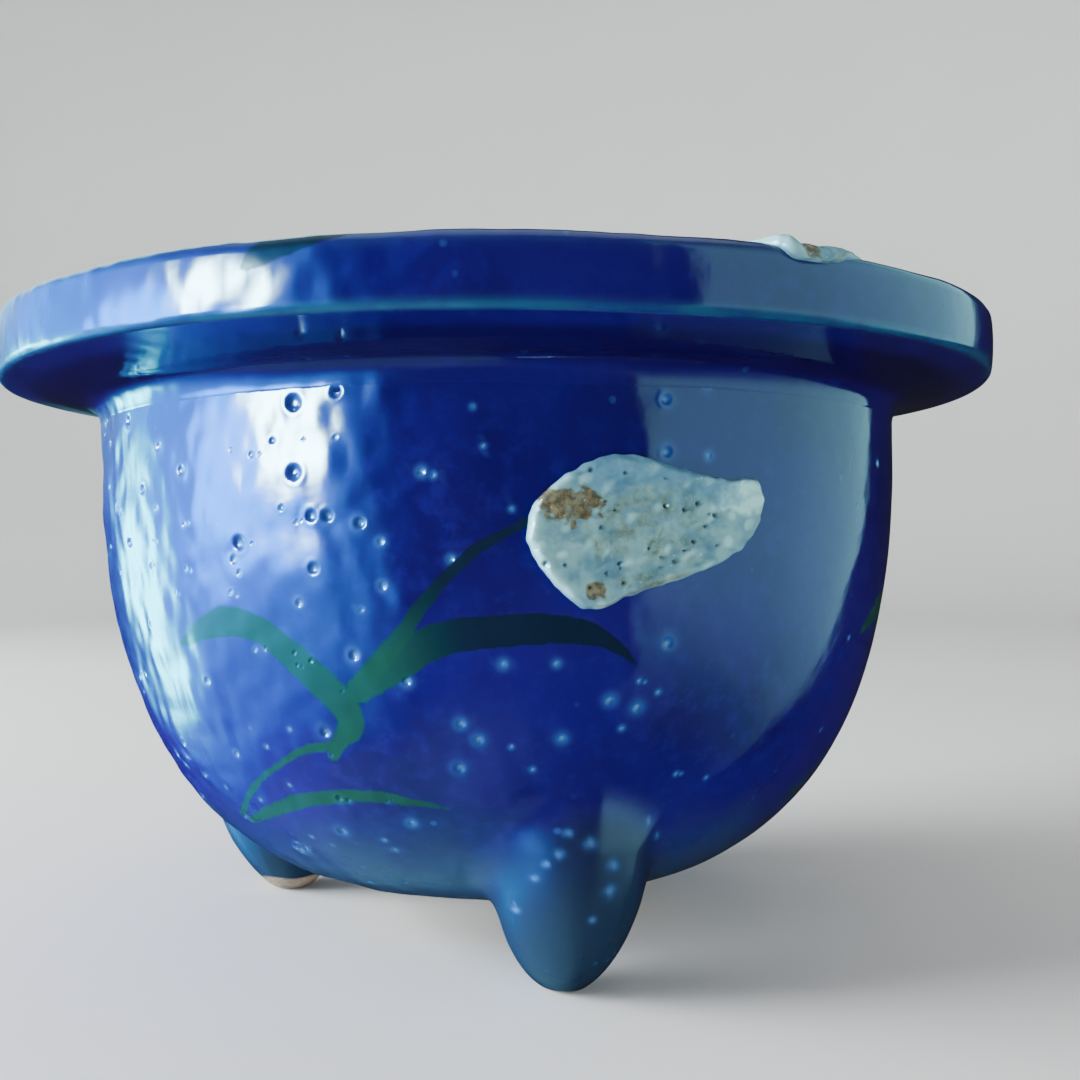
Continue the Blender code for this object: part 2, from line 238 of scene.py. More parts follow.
def turn_from(azimuth, middle):
    """The turn in radians from a middle azimuth to others, the short way round."""
    return (azimuth - middle + math.pi) % (2 * math.pi) - math.pi


def flat_points(places):
    """Places (x, y) as points at height 0."""
    return np.pad(places, ((0, 0), (0, 1)))


def smooth_path(points, steps, closed=False):
    """A Catmull-Rom curve through rows of numbers, with steps points for each span."""
    points = np.array(points, float)
    count = len(points)
    spans = count if closed else count - 1
    t = (np.arange(steps) / steps)[:, None]
    found = []
    for i in range(spans):
        around = [i - 1, i, i + 1, i + 2]
        picks = [k % count if closed else min(max(k, 0), count - 1) for k in around]
        a, b, c, d = points[picks]
        bend = 2 * a - 5 * b + 4 * c - d
        twist = 3 * b - a - 3 * c + d
        found.append(0.5 * (2 * b + (c - a) * t + bend * t**2 + twist * t**3))
    if not closed:
        found.append(points[-1:])
    return np.concatenate(found)


def bezier(start, handle, end, steps=14):
    t = np.linspace(0, 1, steps)[:, None]
    start, handle, end = (np.array(p, float) for p in (start, handle, end))
    return (1 - t) ** 2 * start + 2 * t * (1 - t) * handle + t**2 * end


def corner(centre, radius, start, end, steps=10):
    """Points (radius, height) on a round corner, with the angles in degrees from the outward direction."""
    angles = np.radians(np.linspace(start, end, steps))
    return np.stack([centre[0] + radius * np.cos(angles), centre[1] + radius * np.sin(angles)], 1)


def belly_curve(radius, bottom, end_height, steps=160):
    """Points (radius, height) down the bowl's superellipse, from BELLY_TOP to end_height."""
    depth = BELLY_TOP - bottom
    end = math.asin(((BELLY_TOP - end_height) / depth) ** (HEIGHT_POWER / 2))
    angles = np.linspace(0, end, steps)
    across = np.cos(angles) ** (2 / RADIUS_POWER)
    down = np.sin(angles) ** (2 / HEIGHT_POWER)
    return np.stack([radius * across, BELLY_TOP - depth * down], 1)


def wall_radius_at(height):
    down = np.clip((BELLY_TOP - height) / (BELLY_TOP - BELLY_BOTTOM), 0.0, 1.0)
    return WALL_RADIUS * (1 - down**HEIGHT_POWER) ** (1 / RADIUS_POWER)


class Profile:
    """A closed outline of (radius, height) in mm, read by the distance along it, with its outward normal."""

    def __init__(self, *sections):
        points = np.concatenate([np.array(s, float).reshape(-1, 2) for s in sections])
        points = np.concatenate([points, points[:1]])
        steps = np.linalg.norm(np.diff(points, axis=0), axis=1)
        points = points[np.concatenate([[True], steps > 1e-6])]
        self.along = np.concatenate([[0], np.cumsum(np.linalg.norm(np.diff(points, axis=0), axis=1))])
        self.points = points
        self.length = self.along[-1]
        radius, height = points.T
        area = np.sum(radius[:-1] * height[1:] - radius[1:] * height[:-1])
        self.turn = -math.copysign(1, area)

    def at(self, along):
        along = np.mod(along, self.length)
        return np.stack([np.interp(along, self.along, self.points[:, k]) for k in (0, 1)], -1)

    def normal(self, along, reach=0.35):
        """The way out of the outline, averaged over a short stretch of it."""
        way = self.at(along + reach) - self.at(along - reach)
        way /= np.maximum(np.linalg.norm(way, axis=-1), 1e-9)[..., None]
        return self.turn * np.stack([-way[..., 1], way[..., 0]], -1)

    def where(self, point):
        """The distance along the outline of the place nearest to a point."""
        fine = np.linspace(0, self.length, 20000, endpoint=False)
        return fine[np.argmin(np.linalg.norm(self.at(fine) - np.array(point), axis=1))]


# ---------------------------------------------------------------- meshes


def add_piece(name, node, points, faces, material, normals=None, marks=None):
    """A mesh piece from points in mm, that rides on the body and stands for a CAD node."""
    mesh = bpy.data.meshes.new(name)
    mesh.from_pydata((points * MM).tolist(), [], faces)
    mesh.shade_smooth()
    if normals is not None:
        mesh.normals_split_custom_set_from_vertices(normals.tolist())
    for mark, values in (marks or {}).items():
        kind = "FLOAT_VECTOR" if values.ndim == 2 else "FLOAT"
        field = "vector" if values.ndim == 2 else "value"
        attribute = mesh.attributes.new(mark, kind, "POINT")
        attribute.data.foreach_set(field, values.astype(np.float32).ravel())
    mesh.materials.append(material)
    obj = bpy.data.objects.new(name, mesh)
    bpy.context.scene.collection.objects.link(obj)
    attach(obj, "root")
    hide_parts(node)
    return obj


def ring_grid(columns, rows, fine=None, split=4):
    """Corners and faces of a grid that closes both ways. Cells in fine[row, column] are split both ways."""
    fine = np.zeros((rows, columns), bool) if fine is None else fine
    corners = {}

    def corner_at(column, row):
        key = (row % (rows * split), column % (columns * split))
        return corners.setdefault(key, len(corners))

    faces = []
    for j in range(rows):
        for i in range(columns):
            x, y = i * split, j * split
            if fine[j, i]:
                for b in range(split):
                    for a in range(split):
                        square = ((a, b), (a + 1, b), (a + 1, b + 1), (a, b + 1))
                        faces.append([corner_at(x + p, y + q) for p, q in square])
                continue
            below, above = fine[j - 1, i], fine[(j + 1) % rows, i]
            left, right = fine[j, i - 1], fine[j, (i + 1) % columns]
            steps = range(1, split)
            face = [corner_at(x, y)]
            face += [corner_at(x + k, y) for k in steps if below]
            face.append(corner_at(x + split, y))
            face += [corner_at(x + split, y + k) for k in steps if right]
            face.append(corner_at(x + split, y + split))
            face += [corner_at(x + split - k, y + split) for k in steps if above]
            face.append(corner_at(x, y + split))
            face += [corner_at(x, y + split - k) for k in steps if left]
            faces.append(face)
    keys = np.array(list(corners), float) / split
    return keys[:, 1], keys[:, 0], faces


def band_faces(count, rings):
    """Faces between rings of count points each."""
    faces = []
    for low in range(0, (rings - 1) * count, count):
        for i in range(count):
            after = (i + 1) % count
            faces.append([low + i, low + count + i, low + count + after, low + after])
    return faces


def patch_faces(count, rings):
    """Faces of a closed patch: a middle point, rings of count points each and a middle point behind."""
    last = rings * count + 1
    faces = [[1 + k for k in face] for face in band_faces(count, rings)]
    for i in range(count):
        after = (i + 1) % count
        faces += [[0, 1 + i, 1 + after], [last, last - count + after, last - count + i]]
    return faces


def turned_points(azimuth, outline):
    """Points at azimuths in radians from radius and height."""
    return np.stack([outline[..., 0] * np.sin(azimuth), -outline[..., 0] * np.cos(azimuth), outline[..., 1]], -1)


def point_outwards(points, faces, normals):
    """Turns the faces over if the closed surface that they make is inside out, and the normals to match."""
    fan = np.array([(f[0], f[k], f[k + 1]) for f in faces for k in range(1, len(f) - 1)])
    a, b, c = (points[fan[:, k]] for k in range(3))
    if np.einsum("ij,ij->", a, np.cross(b, c)) < 0:
        faces = [f[::-1] for f in faces]
        fan = fan[:, ::-1]
        a, c = c, a
    if normals is not None:
        flat = np.cross(b - a, c - a)
        if np.einsum("ij,ij->", flat, normals[fan[:, 1]]) < 0:
            normals = -normals
    return faces, normals


def turned_surface(place, azimuth, along, faces, radius, step):
    """Points, outward faces and normals of place(azimuth, along). The normals are its slopes over a step in mm."""
    turn = step / radius
    across = place(azimuth + turn, along) - place(azimuth - turn, along)
    up = place(azimuth, along + step) - place(azimuth, along - step)
    normals = np.cross(across, up)
    normals /= np.maximum(np.linalg.norm(normals, axis=1), 1e-12)[:, None]
    points = place(azimuth, along)
    return points, *point_outwards(points, faces, normals)


# ---------------------------------------------------------------- what the glaze surface does


hand_wobble = waves(1, 22, 60)
glaze_swell = waves(2, 7, 15)
glaze_ripple = waves(3, 2.6, 5.0)


def boiling(azimuth):
    """How much the glaze has boiled, from 0 to 1, at azimuths in radians: most on the kiln's hotter side."""
    return (0.5 + 0.5 * np.cos(azimuth - math.radians(KILN_SIDE))) ** 3


def glaze_relief(points):
    """How far, in mm, the hand-made surface and the glaze on it stand out from the true form."""
    boiled = boiling(np.arctan2(points[..., 0], -points[..., 1]))
    lumps = GLAZE_SWELL * glaze_swell(points) + GLAZE_RIPPLE * (1 + boiled) * glaze_ripple(points)
    return HAND_WOBBLE * hand_wobble(points) + (1 + BOILED_GAIN * boiled) * lumps


def pit_list():
    """Every pit as (azimuth in radians, height, radius): the front's larger ones, then small random ones."""
    rng = np.random.default_rng(SEED)
    pits = [(math.radians(a), h, r) for a, h, r in FRONT_PITS]
    while len(pits) < len(FRONT_PITS) + OTHER_PITS:
        azimuth = rng.uniform(-math.pi, math.pi)
        height = 13 + 64 * rng.random()
        radius = 0.3 + 0.75 * rng.random() ** 3
        lonely = rng.random() > 0.16 + 0.84 * boiling(azimuth)
        clump = rng.random() < 0.3
        side = rng.uniform(-1.0, 1.0)
        front = abs(azimuth - math.radians(MOTIFS["blossom_front"][0])) < 0.55
        if lonely or (front and radius > 0.55):
            continue
        pits.append((azimuth, height, radius))
        if clump:
            pits.append((azimuth + 2.4 * radius / WALL_RADIUS, height + side * radius, radius * 0.7))
    return pits


def pit_fields(azimuth, along, radius, pits):
    """Lift in mm, and the weights of the pits' glow and bright middle, at developed places on the wall. Glow and
    middle are partly milky glaze and partly painted highlight.
    """
    lift, glow, core_and_painted_glint = (np.zeros_like(azimuth) for _ in range(3))
    for pit_azimuth, pit_along, size in pits:
        across = turn_from(azimuth, pit_azimuth)
        near = np.flatnonzero((np.abs(across) * radius < 2.4 * size) & (np.abs(along - pit_along) < 2.4 * size))
        if not len(near):
            continue
        off = np.hypot(across[near] * radius[near], along[near] - pit_along) / size
        collar = PIT_COLLAR * size * np.exp(-(((off - 1.1) / 0.35) ** 2))
        hole = PIT_DEPTH * size * np.exp(-((off / 0.62) ** 4))
        lift[near] += collar - hole
        # The glow and bright middle are partly milky glaze and partly painted highlight, for the light that the
        # hollows catch
        milky = 0.35 + 0.65 * smoothstep(1.0 - size, 0.0, 0.35)
        glow[near] = np.maximum(glow[near], milky * np.exp(-((off / 1.2) ** 2)))
        core_and_painted_glint[near] = np.maximum(core_and_painted_glint[near], milky * np.exp(-((off / 0.35) ** 4)))
    return lift, glow, core_and_painted_glint


def stroke_field(x, y, points):
    """How places (x, y) in mm lie to a brush stroke: (offset across it, its half-width, distance along it).

    The offset keeps its sign across the stroke, so that it stays true between the corners of a coarse mesh."""
    path = smooth_path(points, 9)
    field = np.tile(NO_STROKE, (len(x), 1))
    low, high = path[:, :2].min(0) - STROKE_REACH, path[:, :2].max(0) + STROKE_REACH
    near = np.flatnonzero((x > low[0]) & (x < high[0]) & (y > low[1]) & (y < high[1]))
    if not len(near):
        return field
    here = np.stack([x[near], y[near]], 1)
    starts, ways = path[:-1, :2], np.diff(path[:, :2], axis=0)
    lengths = np.linalg.norm(ways, axis=1)
    ways = ways / lengths[:, None]
    travelled = np.concatenate([[0], np.cumsum(lengths)[:-1]])
    reach = np.einsum("nsk,sk->ns", here[:, None] - starts, ways)
    held = np.clip(reach, 0, lengths)
    gap = np.linalg.norm(here[:, None] - starts - held[..., None] * ways, axis=2)
    nearest = gap.argmin(1)
    pick = np.arange(len(near)), nearest
    last = len(lengths) - 1
    free = reach[pick]
    step = np.where((nearest == 0) & (free < 0), free, held[pick])
    step = np.where((nearest == last) & (free > lengths[last]), free, step)
    offset = here - starts[nearest] - step[:, None] * ways[nearest]
    side = ways[nearest, 0] * offset[:, 1] - ways[nearest, 1] * offset[:, 0]
    along = travelled[nearest] + step
    total = travelled[-1] + lengths[-1]
    width = np.interp(along, np.append(travelled, total), path[:, 2])
    beyond = np.maximum(-along, 0) + np.maximum(along - total, 0)
    width -= 1.2 * beyond
    far = np.abs(side) > STROKE_REACH - 0.5
    side = np.where(far, np.sign(side) * STROKE_REACH, side)
    width = np.where(far, -STROKE_REACH, width)
    field[near] = np.stack([side, width, along], 1)
    return field


def wall_strokes(azimuth, height):
    """The stroke attributes of places on the wall, from the motif that each place is nearest to."""
    fields = {name: np.tile(NO_STROKE, (len(azimuth), 1)) for name in STROKES}
    for motif_azimuth, along_scale, up_scale in MOTIFS.values():
        x = turn_from(azimuth, math.radians(motif_azimuth)) / along_scale * WALL_RADIUS
        y = (height - BLOSSOM_HEIGHT) / up_scale
        for name, points in STROKES.items():
            local = [(math.radians(a) * WALL_RADIUS, h, w) for a, h, w in points]
            found = stroke_field(x, y, local)
            better = found[:, 1] - np.abs(found[:, 0]) > fields[name][:, 1] - np.abs(fields[name][:, 0])
            fields[name][better] = found[better]
    return fields


# ---------------------------------------------------------------- the bowl's wall


def wall_profile():
    outer = belly_curve(WALL_RADIUS, BELLY_BOTTOM, BASE_HEIGHT + 0.5)
    foot_corner = bezier(outer[-1], (outer[-1][0] - 1.0, BASE_HEIGHT), (outer[-1][0] - 2.4, BASE_HEIGHT))
    inner = belly_curve(MOUTH_RADIUS, INSIDE_BOTTOM, FLOOR_TOP)[::-1]
    return Profile(
        [(WALL_RADIUS, NECK_HEIGHT)],
        outer,
        foot_corner,
        [(LEDGE_RADIUS, BASE_HEIGHT), (LEDGE_RADIUS, FLOOR_TOP - 2.5), (inner[0][0], FLOOR_TOP - 2.5)],
        inner,
        [(MOUTH_RADIUS, NECK_HEIGHT)],
    )


def graded_rows(*stops):
    """Distances along a profile, with a spacing of its own up to each stop: (stop, spacing)."""
    rows, start = [], 0.0
    for stop, spacing in stops:
        count = max(1, round((stop - start) / spacing))
        rows.append(start + (stop - start) * np.arange(count) / count)
        start = stop
    return np.concatenate(rows)


def turned_grid(profile, rows, columns, fine=None):
    """Azimuths in radians, distances along a profile and faces of a grid that goes round the axis."""
    u, v, faces = ring_grid(columns, len(rows), fine)
    spread = np.append(rows, profile.length)
    return u * (2 * math.pi / columns), np.interp(v, np.arange(len(spread)), spread), faces


def build_wall(material):
    profile = wall_profile()
    base_edge = profile.where((wall_radius_at(BASE_HEIGHT + 0.5), BASE_HEIGHT + 0.5))
    ledge = profile.where((LEDGE_RADIUS, BASE_HEIGHT))
    inside = profile.where((DISC_RADIUS, FLOOR_TOP))
    mouth = profile.where((MOUTH_RADIUS, NECK_HEIGHT))
    rows = graded_rows((base_edge, 1.0), (ledge, 1.2), (inside, 2.5), (mouth, 1.9), (profile.length, 2.0))
    row_ends = np.append(rows[1:], profile.length)
    turn = 2 * math.pi / WALL_COLUMNS
    pits = [(a, profile.where((wall_radius_at(np.float64(h)), h)), size) for a, h, size in pit_list()]

    fine = np.zeros((len(rows), WALL_COLUMNS), bool)
    for azimuth, along, size in pits:
        reach = PIT_FINE_REACH * size
        near_rows = np.flatnonzero((rows < along + reach) & (row_ends > along - reach))
        half = reach / profile.at(along)[0]
        first, last = math.floor((azimuth - half) / turn), math.floor((azimuth + half) / turn)
        fine[np.ix_(near_rows, np.arange(first, last + 1) % WALL_COLUMNS)] = True

    azimuth, along, faces = turned_grid(profile, rows, WALL_COLUMNS, fine)
    throwing = waves(5, 9, 30)

    def place(azimuth, along):
        outline, normal = profile.at(along), profile.normal(along)
        true = turned_points(azimuth, outline)
        direction = turned_points(azimuth, normal)
        outside = smoothstep(base_edge + 1.0 - along, 0.0, 2.0) + smoothstep(along, mouth + 3.0, profile.length)
        outside = np.clip(outside, 0, 1)
        lift = outside * glaze_relief(true)
        lift += outside * pit_fields(azimuth, along, outline[:, 0], pits)[0]
        within = smoothstep(along, inside, inside + 4.0) * smoothstep(mouth - along, 0.0, 4.0)
        rings = np.sin(outline[:, 1] * 1.9 + 0.5 * azimuth + 0.8 * throwing(true))
        lift += within * (0.13 * rings + 0.12 * throwing(true))
        return true + direction * lift[:, None]

    points, faces, normals = turned_surface(place, azimuth, along, faces, WALL_RADIUS, 0.12)
    true = profile.at(along)
    glow, core_and_painted_glint = pit_fields(azimuth, along, true[:, 0], pits)[1:]
    on_outside = along < base_edge + 1.5
    edge = waves(6, 6, 18)(points)
    inside_line = (true[:, 1] - (70.5 + 1.3 * edge)) * (along > inside)
    outside_line = (base_edge + 0.6 + 0.5 * edge - along) * (along < inside)
    marks = {"glazed": np.clip(0.5 + 0.5 * np.where(along > inside, inside_line, outside_line), 0, 1)}
    marks["pit"] = np.where(on_outside, glow, 0.0)
    marks["core_and_painted_glint"] = np.where(on_outside, core_and_painted_glint, 0.0)
    marks["boiled"] = boiling(azimuth) * on_outside
    strokes = wall_strokes(azimuth, true[:, 1])
    for name, field in strokes.items():
        field[~on_outside] = NO_STROKE
        marks[name] = field
    return add_piece("glazed_wall", "bowl_wall", points, faces, material, normals, marks)


# ---------------------------------------------------------------- the rim


def rim_profile():
    """Up from a skirt that is feathered on to the wall, round the flange and down into the mouth."""
    skirt_low = (WALL_RADIUS - 0.5, NECK_HEIGHT - 3.6)
    skirt = (WALL_RADIUS + 0.03, NECK_HEIGHT - 2.7)
    fillet = bezier(skirt, (WALL_RADIUS + 0.1, NECK_HEIGHT + 0.4), (WALL_RADIUS + 3.4, NECK_HEIGHT + 1.05))
    under = bezier(fillet[-1], (RIM_RADIUS - 7.0, NECK_HEIGHT + 1.9), (RIM_RADIUS - 1.6, RIM_EDGE_BOTTOM - 0.15))
    low_edge = corner((RIM_RADIUS - 1.35, RIM_EDGE_BOTTOM + 1.05), 1.15, -75, -14)
    high_edge = corner((RIM_RADIUS - 1.5, RIM_TOP - 1.4), 1.4, 14, 88)
    face = bezier(low_edge[-1], (RIM_RADIUS + 0.22, (RIM_EDGE_BOTTOM + RIM_TOP) / 2 - 0.4), high_edge[0], 10)[1:-1]
    top = bezier(high_edge[-1], (64.0, RIM_TOP - 0.35), (MOUTH_RADIUS + 2.4, RIM_TOP - 0.1))
    mouth = corner((MOUTH_RADIUS + 2.3, RIM_TOP - 2.3), 2.3, 92, 180)
    inner = [(MOUTH_RADIUS, NECK_HEIGHT + 0.6), (MOUTH_RADIUS - 0.02, NECK_HEIGHT - 1.2)]
    tucked = [(MOUTH_RADIUS + 0.6, NECK_HEIGHT - 1.8), (MOUTH_RADIUS + 2.5, NECK_HEIGHT - 0.5)]
    return Profile([skirt_low], fillet, under, low_edge, face, high_edge, top, mouth, inner, tucked)


def rim_rise(azimuth, height):
    """How much taller the hand-thrown rim stands, in mm: least at its lowest place, nothing at its lower edge."""
    rise = RIM_RISE + RIM_RISE_MORE * smoothstep(1 - np.cos(azimuth - math.radians(RIM_LOWEST)), 0.0, 0.9)
    return rise * smoothstep(height, RIM_EDGE_BOTTOM + 1, RIM_TOP)


def build_rim(material):
    profile = rim_profile()
    outer_edge = profile.where((RIM_RADIUS, RIM_EDGE_BOTTOM + 1.5))
    mouth = profile.where((MOUTH_RADIUS, RIM_TOP - 3))
    end = profile.where((MOUTH_RADIUS + 0.6, NECK_HEIGHT - 1.8))
    outside = (outer_edge - 3.0, 0.8), (outer_edge + 1.0, 0.4), (outer_edge + 9.0, 0.6)
    rows = graded_rows(*outside, (mouth, 0.9), (end, 1.2), (profile.length, 3.0))
    azimuth, along, faces = turned_grid(profile, rows, RIM_COLUMNS)
    warp = waves(8, 50, 120)

    def place(azimuth, along):
        outline, normal = profile.at(along), profile.normal(along)
        true = turned_points(azimuth, outline)
        # The underside is smoother than the face and the top
        calm = 1 - 0.8 * smoothstep(-normal[..., 1], 0.2, 0.7)
        lift = turned_points(azimuth, normal) * (calm * glaze_relief(true))[:, None]
        lift[:, 2] += RIM_WARP * warp(true) * smoothstep(outline[:, 0], WALL_RADIUS + 1, RIM_RADIUS)
        lift[:, 2] += rim_rise(azimuth, outline[:, 1])
        return true + lift

    points, faces, normals = turned_surface(place, azimuth, along, faces, RIM_RADIUS, 0.15)
    outline = profile.at(along)
    edge_gap = np.abs(along - (outer_edge - 1.3))
    thin = np.exp(-((edge_gap / 0.7) ** 2))
    top_gap = np.abs(along - profile.where((RIM_RADIUS - 0.8, RIM_TOP - 0.7)))
    thin = np.maximum(thin, 0.35 * np.exp(-((top_gap / 1.0) ** 2)))
    # Painted shade: the underside of the flange is marked to be darkened, for the shade that falls under it
    under = smoothstep(RIM_EDGE_BOTTOM - 0.4 - outline[:, 1], 0.0, 0.8) * (along < outer_edge)
    under *= smoothstep(outline[:, 1], NECK_HEIGHT - 0.8, NECK_HEIGHT + 0.8)
    marks = {"glazed": np.ones(len(azimuth)), "thin": thin, "under": under, "boiled": boiling(azimuth) * (1 - under)}
    middle = profile.where((RIM_BLOSSOM_RADIUS, RIM_TOP))
    around = turn_from(azimuth, 0.0)
    for name, path in RIM_STROKES.items():
        local = [(math.radians(a) * RIM_BLOSSOM_RADIUS, out, w) for a, out, w in path]
        marks[name] = stroke_field(around * RIM_BLOSSOM_RADIUS, middle - along, local)
        marks[name][outline[:, 1] < NECK_HEIGHT + 2] = NO_STROKE
    return add_piece("glazed_rim", "rim_flange", points, faces, material, normals, marks)


# ---------------------------------------------------------------- the floor disc


def build_floor(material):
    top_edge = corner((DRAIN_RADIUS + 1.1, FLOOR_TOP - 1.1), 1.1, 92, 178)
    low_edge = corner((DRAIN_RADIUS + 0.8, BASE_HEIGHT + 0.8), 0.8, 182, 268)
    profile = Profile(
        [(DISC_RADIUS + 1.2, FLOOR_TOP - 0.5), (DISC_RADIUS + 0.6, FLOOR_TOP + 0.05)],
        top_edge,
        low_edge,
        [(LEDGE_RADIUS + 0.9, BASE_HEIGHT - 0.03), (LEDGE_RADIUS + 1.4, BASE_HEIGHT + 0.4)],
    )
    drain = profile.where((DRAIN_RADIUS + 1.0, FLOOR_TOP))
    base = profile.where((DRAIN_RADIUS + 1.0, BASE_HEIGHT))
    rows = graded_rows((drain, 0.5), (base, 0.4), (profile.length - 8.0, 0.6), (profile.length, 1.2))
    azimuth, along, faces = turned_grid(profile, rows, FLOOR_COLUMNS)
    lumps = waves(11, 3, 9)

    def place(azimuth, along):
        outline, normal = profile.at(along), profile.normal(along)
        true = turned_points(azimuth, outline)
        spiral = np.sin(2 * math.pi * outline[:, 0] / 2.1 + azimuth)
        held = smoothstep(outline[:, 0], DRAIN_RADIUS, DRAIN_RADIUS + 2)
        held *= smoothstep(DISC_RADIUS - outline[:, 0], -0.5, 1.5)
        lift = 0.05 * held * spiral + 0.06 * lumps(true)
        return true + turned_points(azimuth, normal) * lift[:, None]

    points, faces, normals = turned_surface(place, azimuth, along, faces, DRAIN_RADIUS, 0.1)
    return add_piece("floor_disc", "bowl_floor", points, faces, material, normals)


# ---------------------------------------------------------------- the feet


def smooth_least(a, b, reach):
    """The lesser of two distances, rounded where they are within reach of each other."""
    near = np.clip(0.5 + 0.5 * (b - a) / reach, 0.0, 1.0)
    return b + (a - b) * near - reach * near * (1 - near)


def bowl_distance(points):
    """Roughly how far a point is outside the solid bowl, in mm."""
    radius = np.hypot(points[..., 0], points[..., 1]) / WALL_RADIUS
    depth = BELLY_TOP - BELLY_BOTTOM
    down = np.maximum(BELLY_TOP - points[..., 2], 0.0) / depth
    level = radius**RADIUS_POWER + down**HEIGHT_POWER - 1
    slope = np.hypot(
        RADIUS_POWER / WALL_RADIUS * radius ** (RADIUS_POWER - 1),
        HEIGHT_POWER / depth * down ** (HEIGHT_POWER - 1),
    )
    return -smooth_least(-level / slope, points[..., 2] - BASE_HEIGHT, 1.2)


def lobe_distance(points):
    """Roughly how far a point is outside a foot's lobe. The lobe is at azimuth 0 here."""
    height = points[..., 2]
    lean = (FOOT_BELLY_RADIUS - FOOT_TIP_RADIUS) / FOOT_BELLY_HEIGHT
    across = points[..., 0] / FOOT_HALF_WIDTH
    out = (-points[..., 1] - FOOT_TIP_RADIUS - lean * height) / FOOT_HALF_DEPTH
    rise = height - FOOT_BELLY_HEIGHT
    half = np.where(rise < 0, FOOT_HALF_DROP, FOOT_HALF_RISE)
    up = rise / half
    # A soft keel: the section is less round towards the front, more so low down
    keel = 0.12 * smoothstep(-up, 0.1, 0.9) * np.maximum(out, 0.0)
    size = np.sqrt(across**2 + out**2 + up**2 + 2 * keel * np.abs(across))
    slope = np.sqrt((across / FOOT_HALF_WIDTH) ** 2 + (out / FOOT_HALF_DEPTH) ** 2 + (up / half) ** 2)
    return (size - 1) * size / np.maximum(slope, 1e-6)


def foot_distance(points):
    blended = smooth_least(bowl_distance(points), lobe_distance(points), FOOT_BLEND)
    sole = -points[..., 2]
    return -smooth_least(-blended, -sole, 0.7)


def cast_out(start, directions, distance_of, farthest=60.0):
    """Where rays from a point inside a shape come out of it."""
    low = np.zeros(directions.shape[:-1])
    high = np.full(directions.shape[:-1], farthest)
    for _ in range(26):
        middle = (low + high) / 2
        inside = distance_of(start + directions * middle[..., None]) < 0
        low = np.where(inside, middle, low)
        high = np.where(inside, high, middle)
    return start + directions * low[..., None]


def build_foot(name, azimuth, material):
    start = np.array(FOOT_START)
    axis = np.array((0.0, -math.sqrt(0.5), -math.sqrt(0.5)))
    side = np.array((1.0, 0.0, 0.0))
    other = np.cross(axis, side)

    def directions(spread, around):
        flat = np.cos(around)[..., None] * side + np.sin(around)[..., None] * other
        return np.cos(spread)[..., None] * axis + np.sin(spread)[..., None] * flat

    around = np.arange(FOOT_SPOKES) * 2 * math.pi / FOOT_SPOKES
    # The patch reaches out on each side until the bowl alone makes the surface
    trial = np.radians(np.arange(40, 150, 1.0))
    grid_spread, grid_around = np.meshgrid(trial, around, indexing="ij")
    found = cast_out(start, directions(grid_spread, grid_around), foot_distance)
    clear = lobe_distance(found) > FOOT_BLEND + FOOT_PAST_BLEND
    reach = trial[np.argmax(clear, axis=0)]
    kernel = np.hanning(13)
    padded = np.concatenate([reach[-6:], reach, reach[:6]])
    reach = np.convolve(padded, kernel / kernel.sum(), mode="valid") + math.radians(FOOT_PAST_ANGLE)

    out_share = np.arange(1, FOOT_RINGS + 1) / FOOT_RINGS
    flat_spread = (out_share[:, None] * reach).ravel()
    flat_around = np.tile(around, FOOT_RINGS)
    turn = math.radians(azimuth)
    to_pot = np.array(((math.cos(turn), math.sin(turn), 0), (-math.sin(turn), math.cos(turn), 0), (0, 0, 1)))

    def place(spread, around):
        return cast_out(start, directions(spread, around), foot_distance) @ to_pot

    centre = place(np.zeros(1), np.zeros(1))
    shell = place(flat_spread, flat_around)
    step = 0.004
    across = place(flat_spread, flat_around + step) - place(flat_spread, flat_around - step)
    outward = place(flat_spread + step, flat_around) - place(flat_spread - step, flat_around)
    normals = np.cross(outward, across)
    normals /= np.linalg.norm(normals, axis=1)[:, None]
    lobe_way = directions(np.zeros(1), np.zeros(1)) @ to_pot
    normals *= np.sign(np.einsum("ij,ij->i", normals, shell - start @ to_pot))[:, None]
    above_sole = smoothstep(shell[:, 2], 0.05, 0.8)
    shell = shell + normals * (glaze_relief(shell) * above_sole)[:, None]
    # The patch is feathered on to the wall: its border sinks just under the wall's surface
    border = np.repeat(out_share, FOOT_SPOKES)
    sink = 0.02 - 0.3 * smoothstep(border, 0.965, 1.0)
    shell += normals * (sink * above_sole)[:, None]
    back_ring = shell[-FOOT_SPOKES:] - normals[-FOOT_SPOKES:] * 1.3
    back_middle = back_ring.mean(0, keepdims=True)
    points = np.concatenate([centre, shell, back_ring, back_middle])
    normals = np.concatenate([lobe_way, normals, -normals[-FOOT_SPOKES:], -lobe_way])

    faces, normals = point_outwards(points, patch_faces(FOOT_SPOKES, FOOT_RINGS + 1), normals)
    toe = BARE_TOE[name] + 0.5 * waves(13, 4, 9)(points)
    marks = {"glazed": np.clip(0.5 + 0.8 * (points[:, 2] - toe), 0, 1), "pit": np.zeros(len(points))}
    local = points @ to_pot.T
    ragged = 0.25 * waves(14, 0.8, 2.0)(local)
    for x, z, size in FOOT_PITS:
        off = np.hypot(local[:, 0] - x, local[:, 2] - z) / size + ragged
        marks["pit"] = np.maximum(marks["pit"], 0.7 * np.exp(-(np.maximum(off, 0) ** 2)))
    marks["pit"] *= local[:, 1] < 0
    # Partly painted highlight: a bright middle in each foot pit
    marks["core_and_painted_glint"] = marks["pit"] ** 3
    marks["boiled"] = boiling(np.arctan2(points[:, 0], -points[:, 1]))
    marks["lobe"] = smoothstep(bowl_distance(local), 0.2, 3.0)
    return add_piece(f"glazed_{name}", name, points, faces, material, normals, marks)


# ---------------------------------------------------------------- blossoms


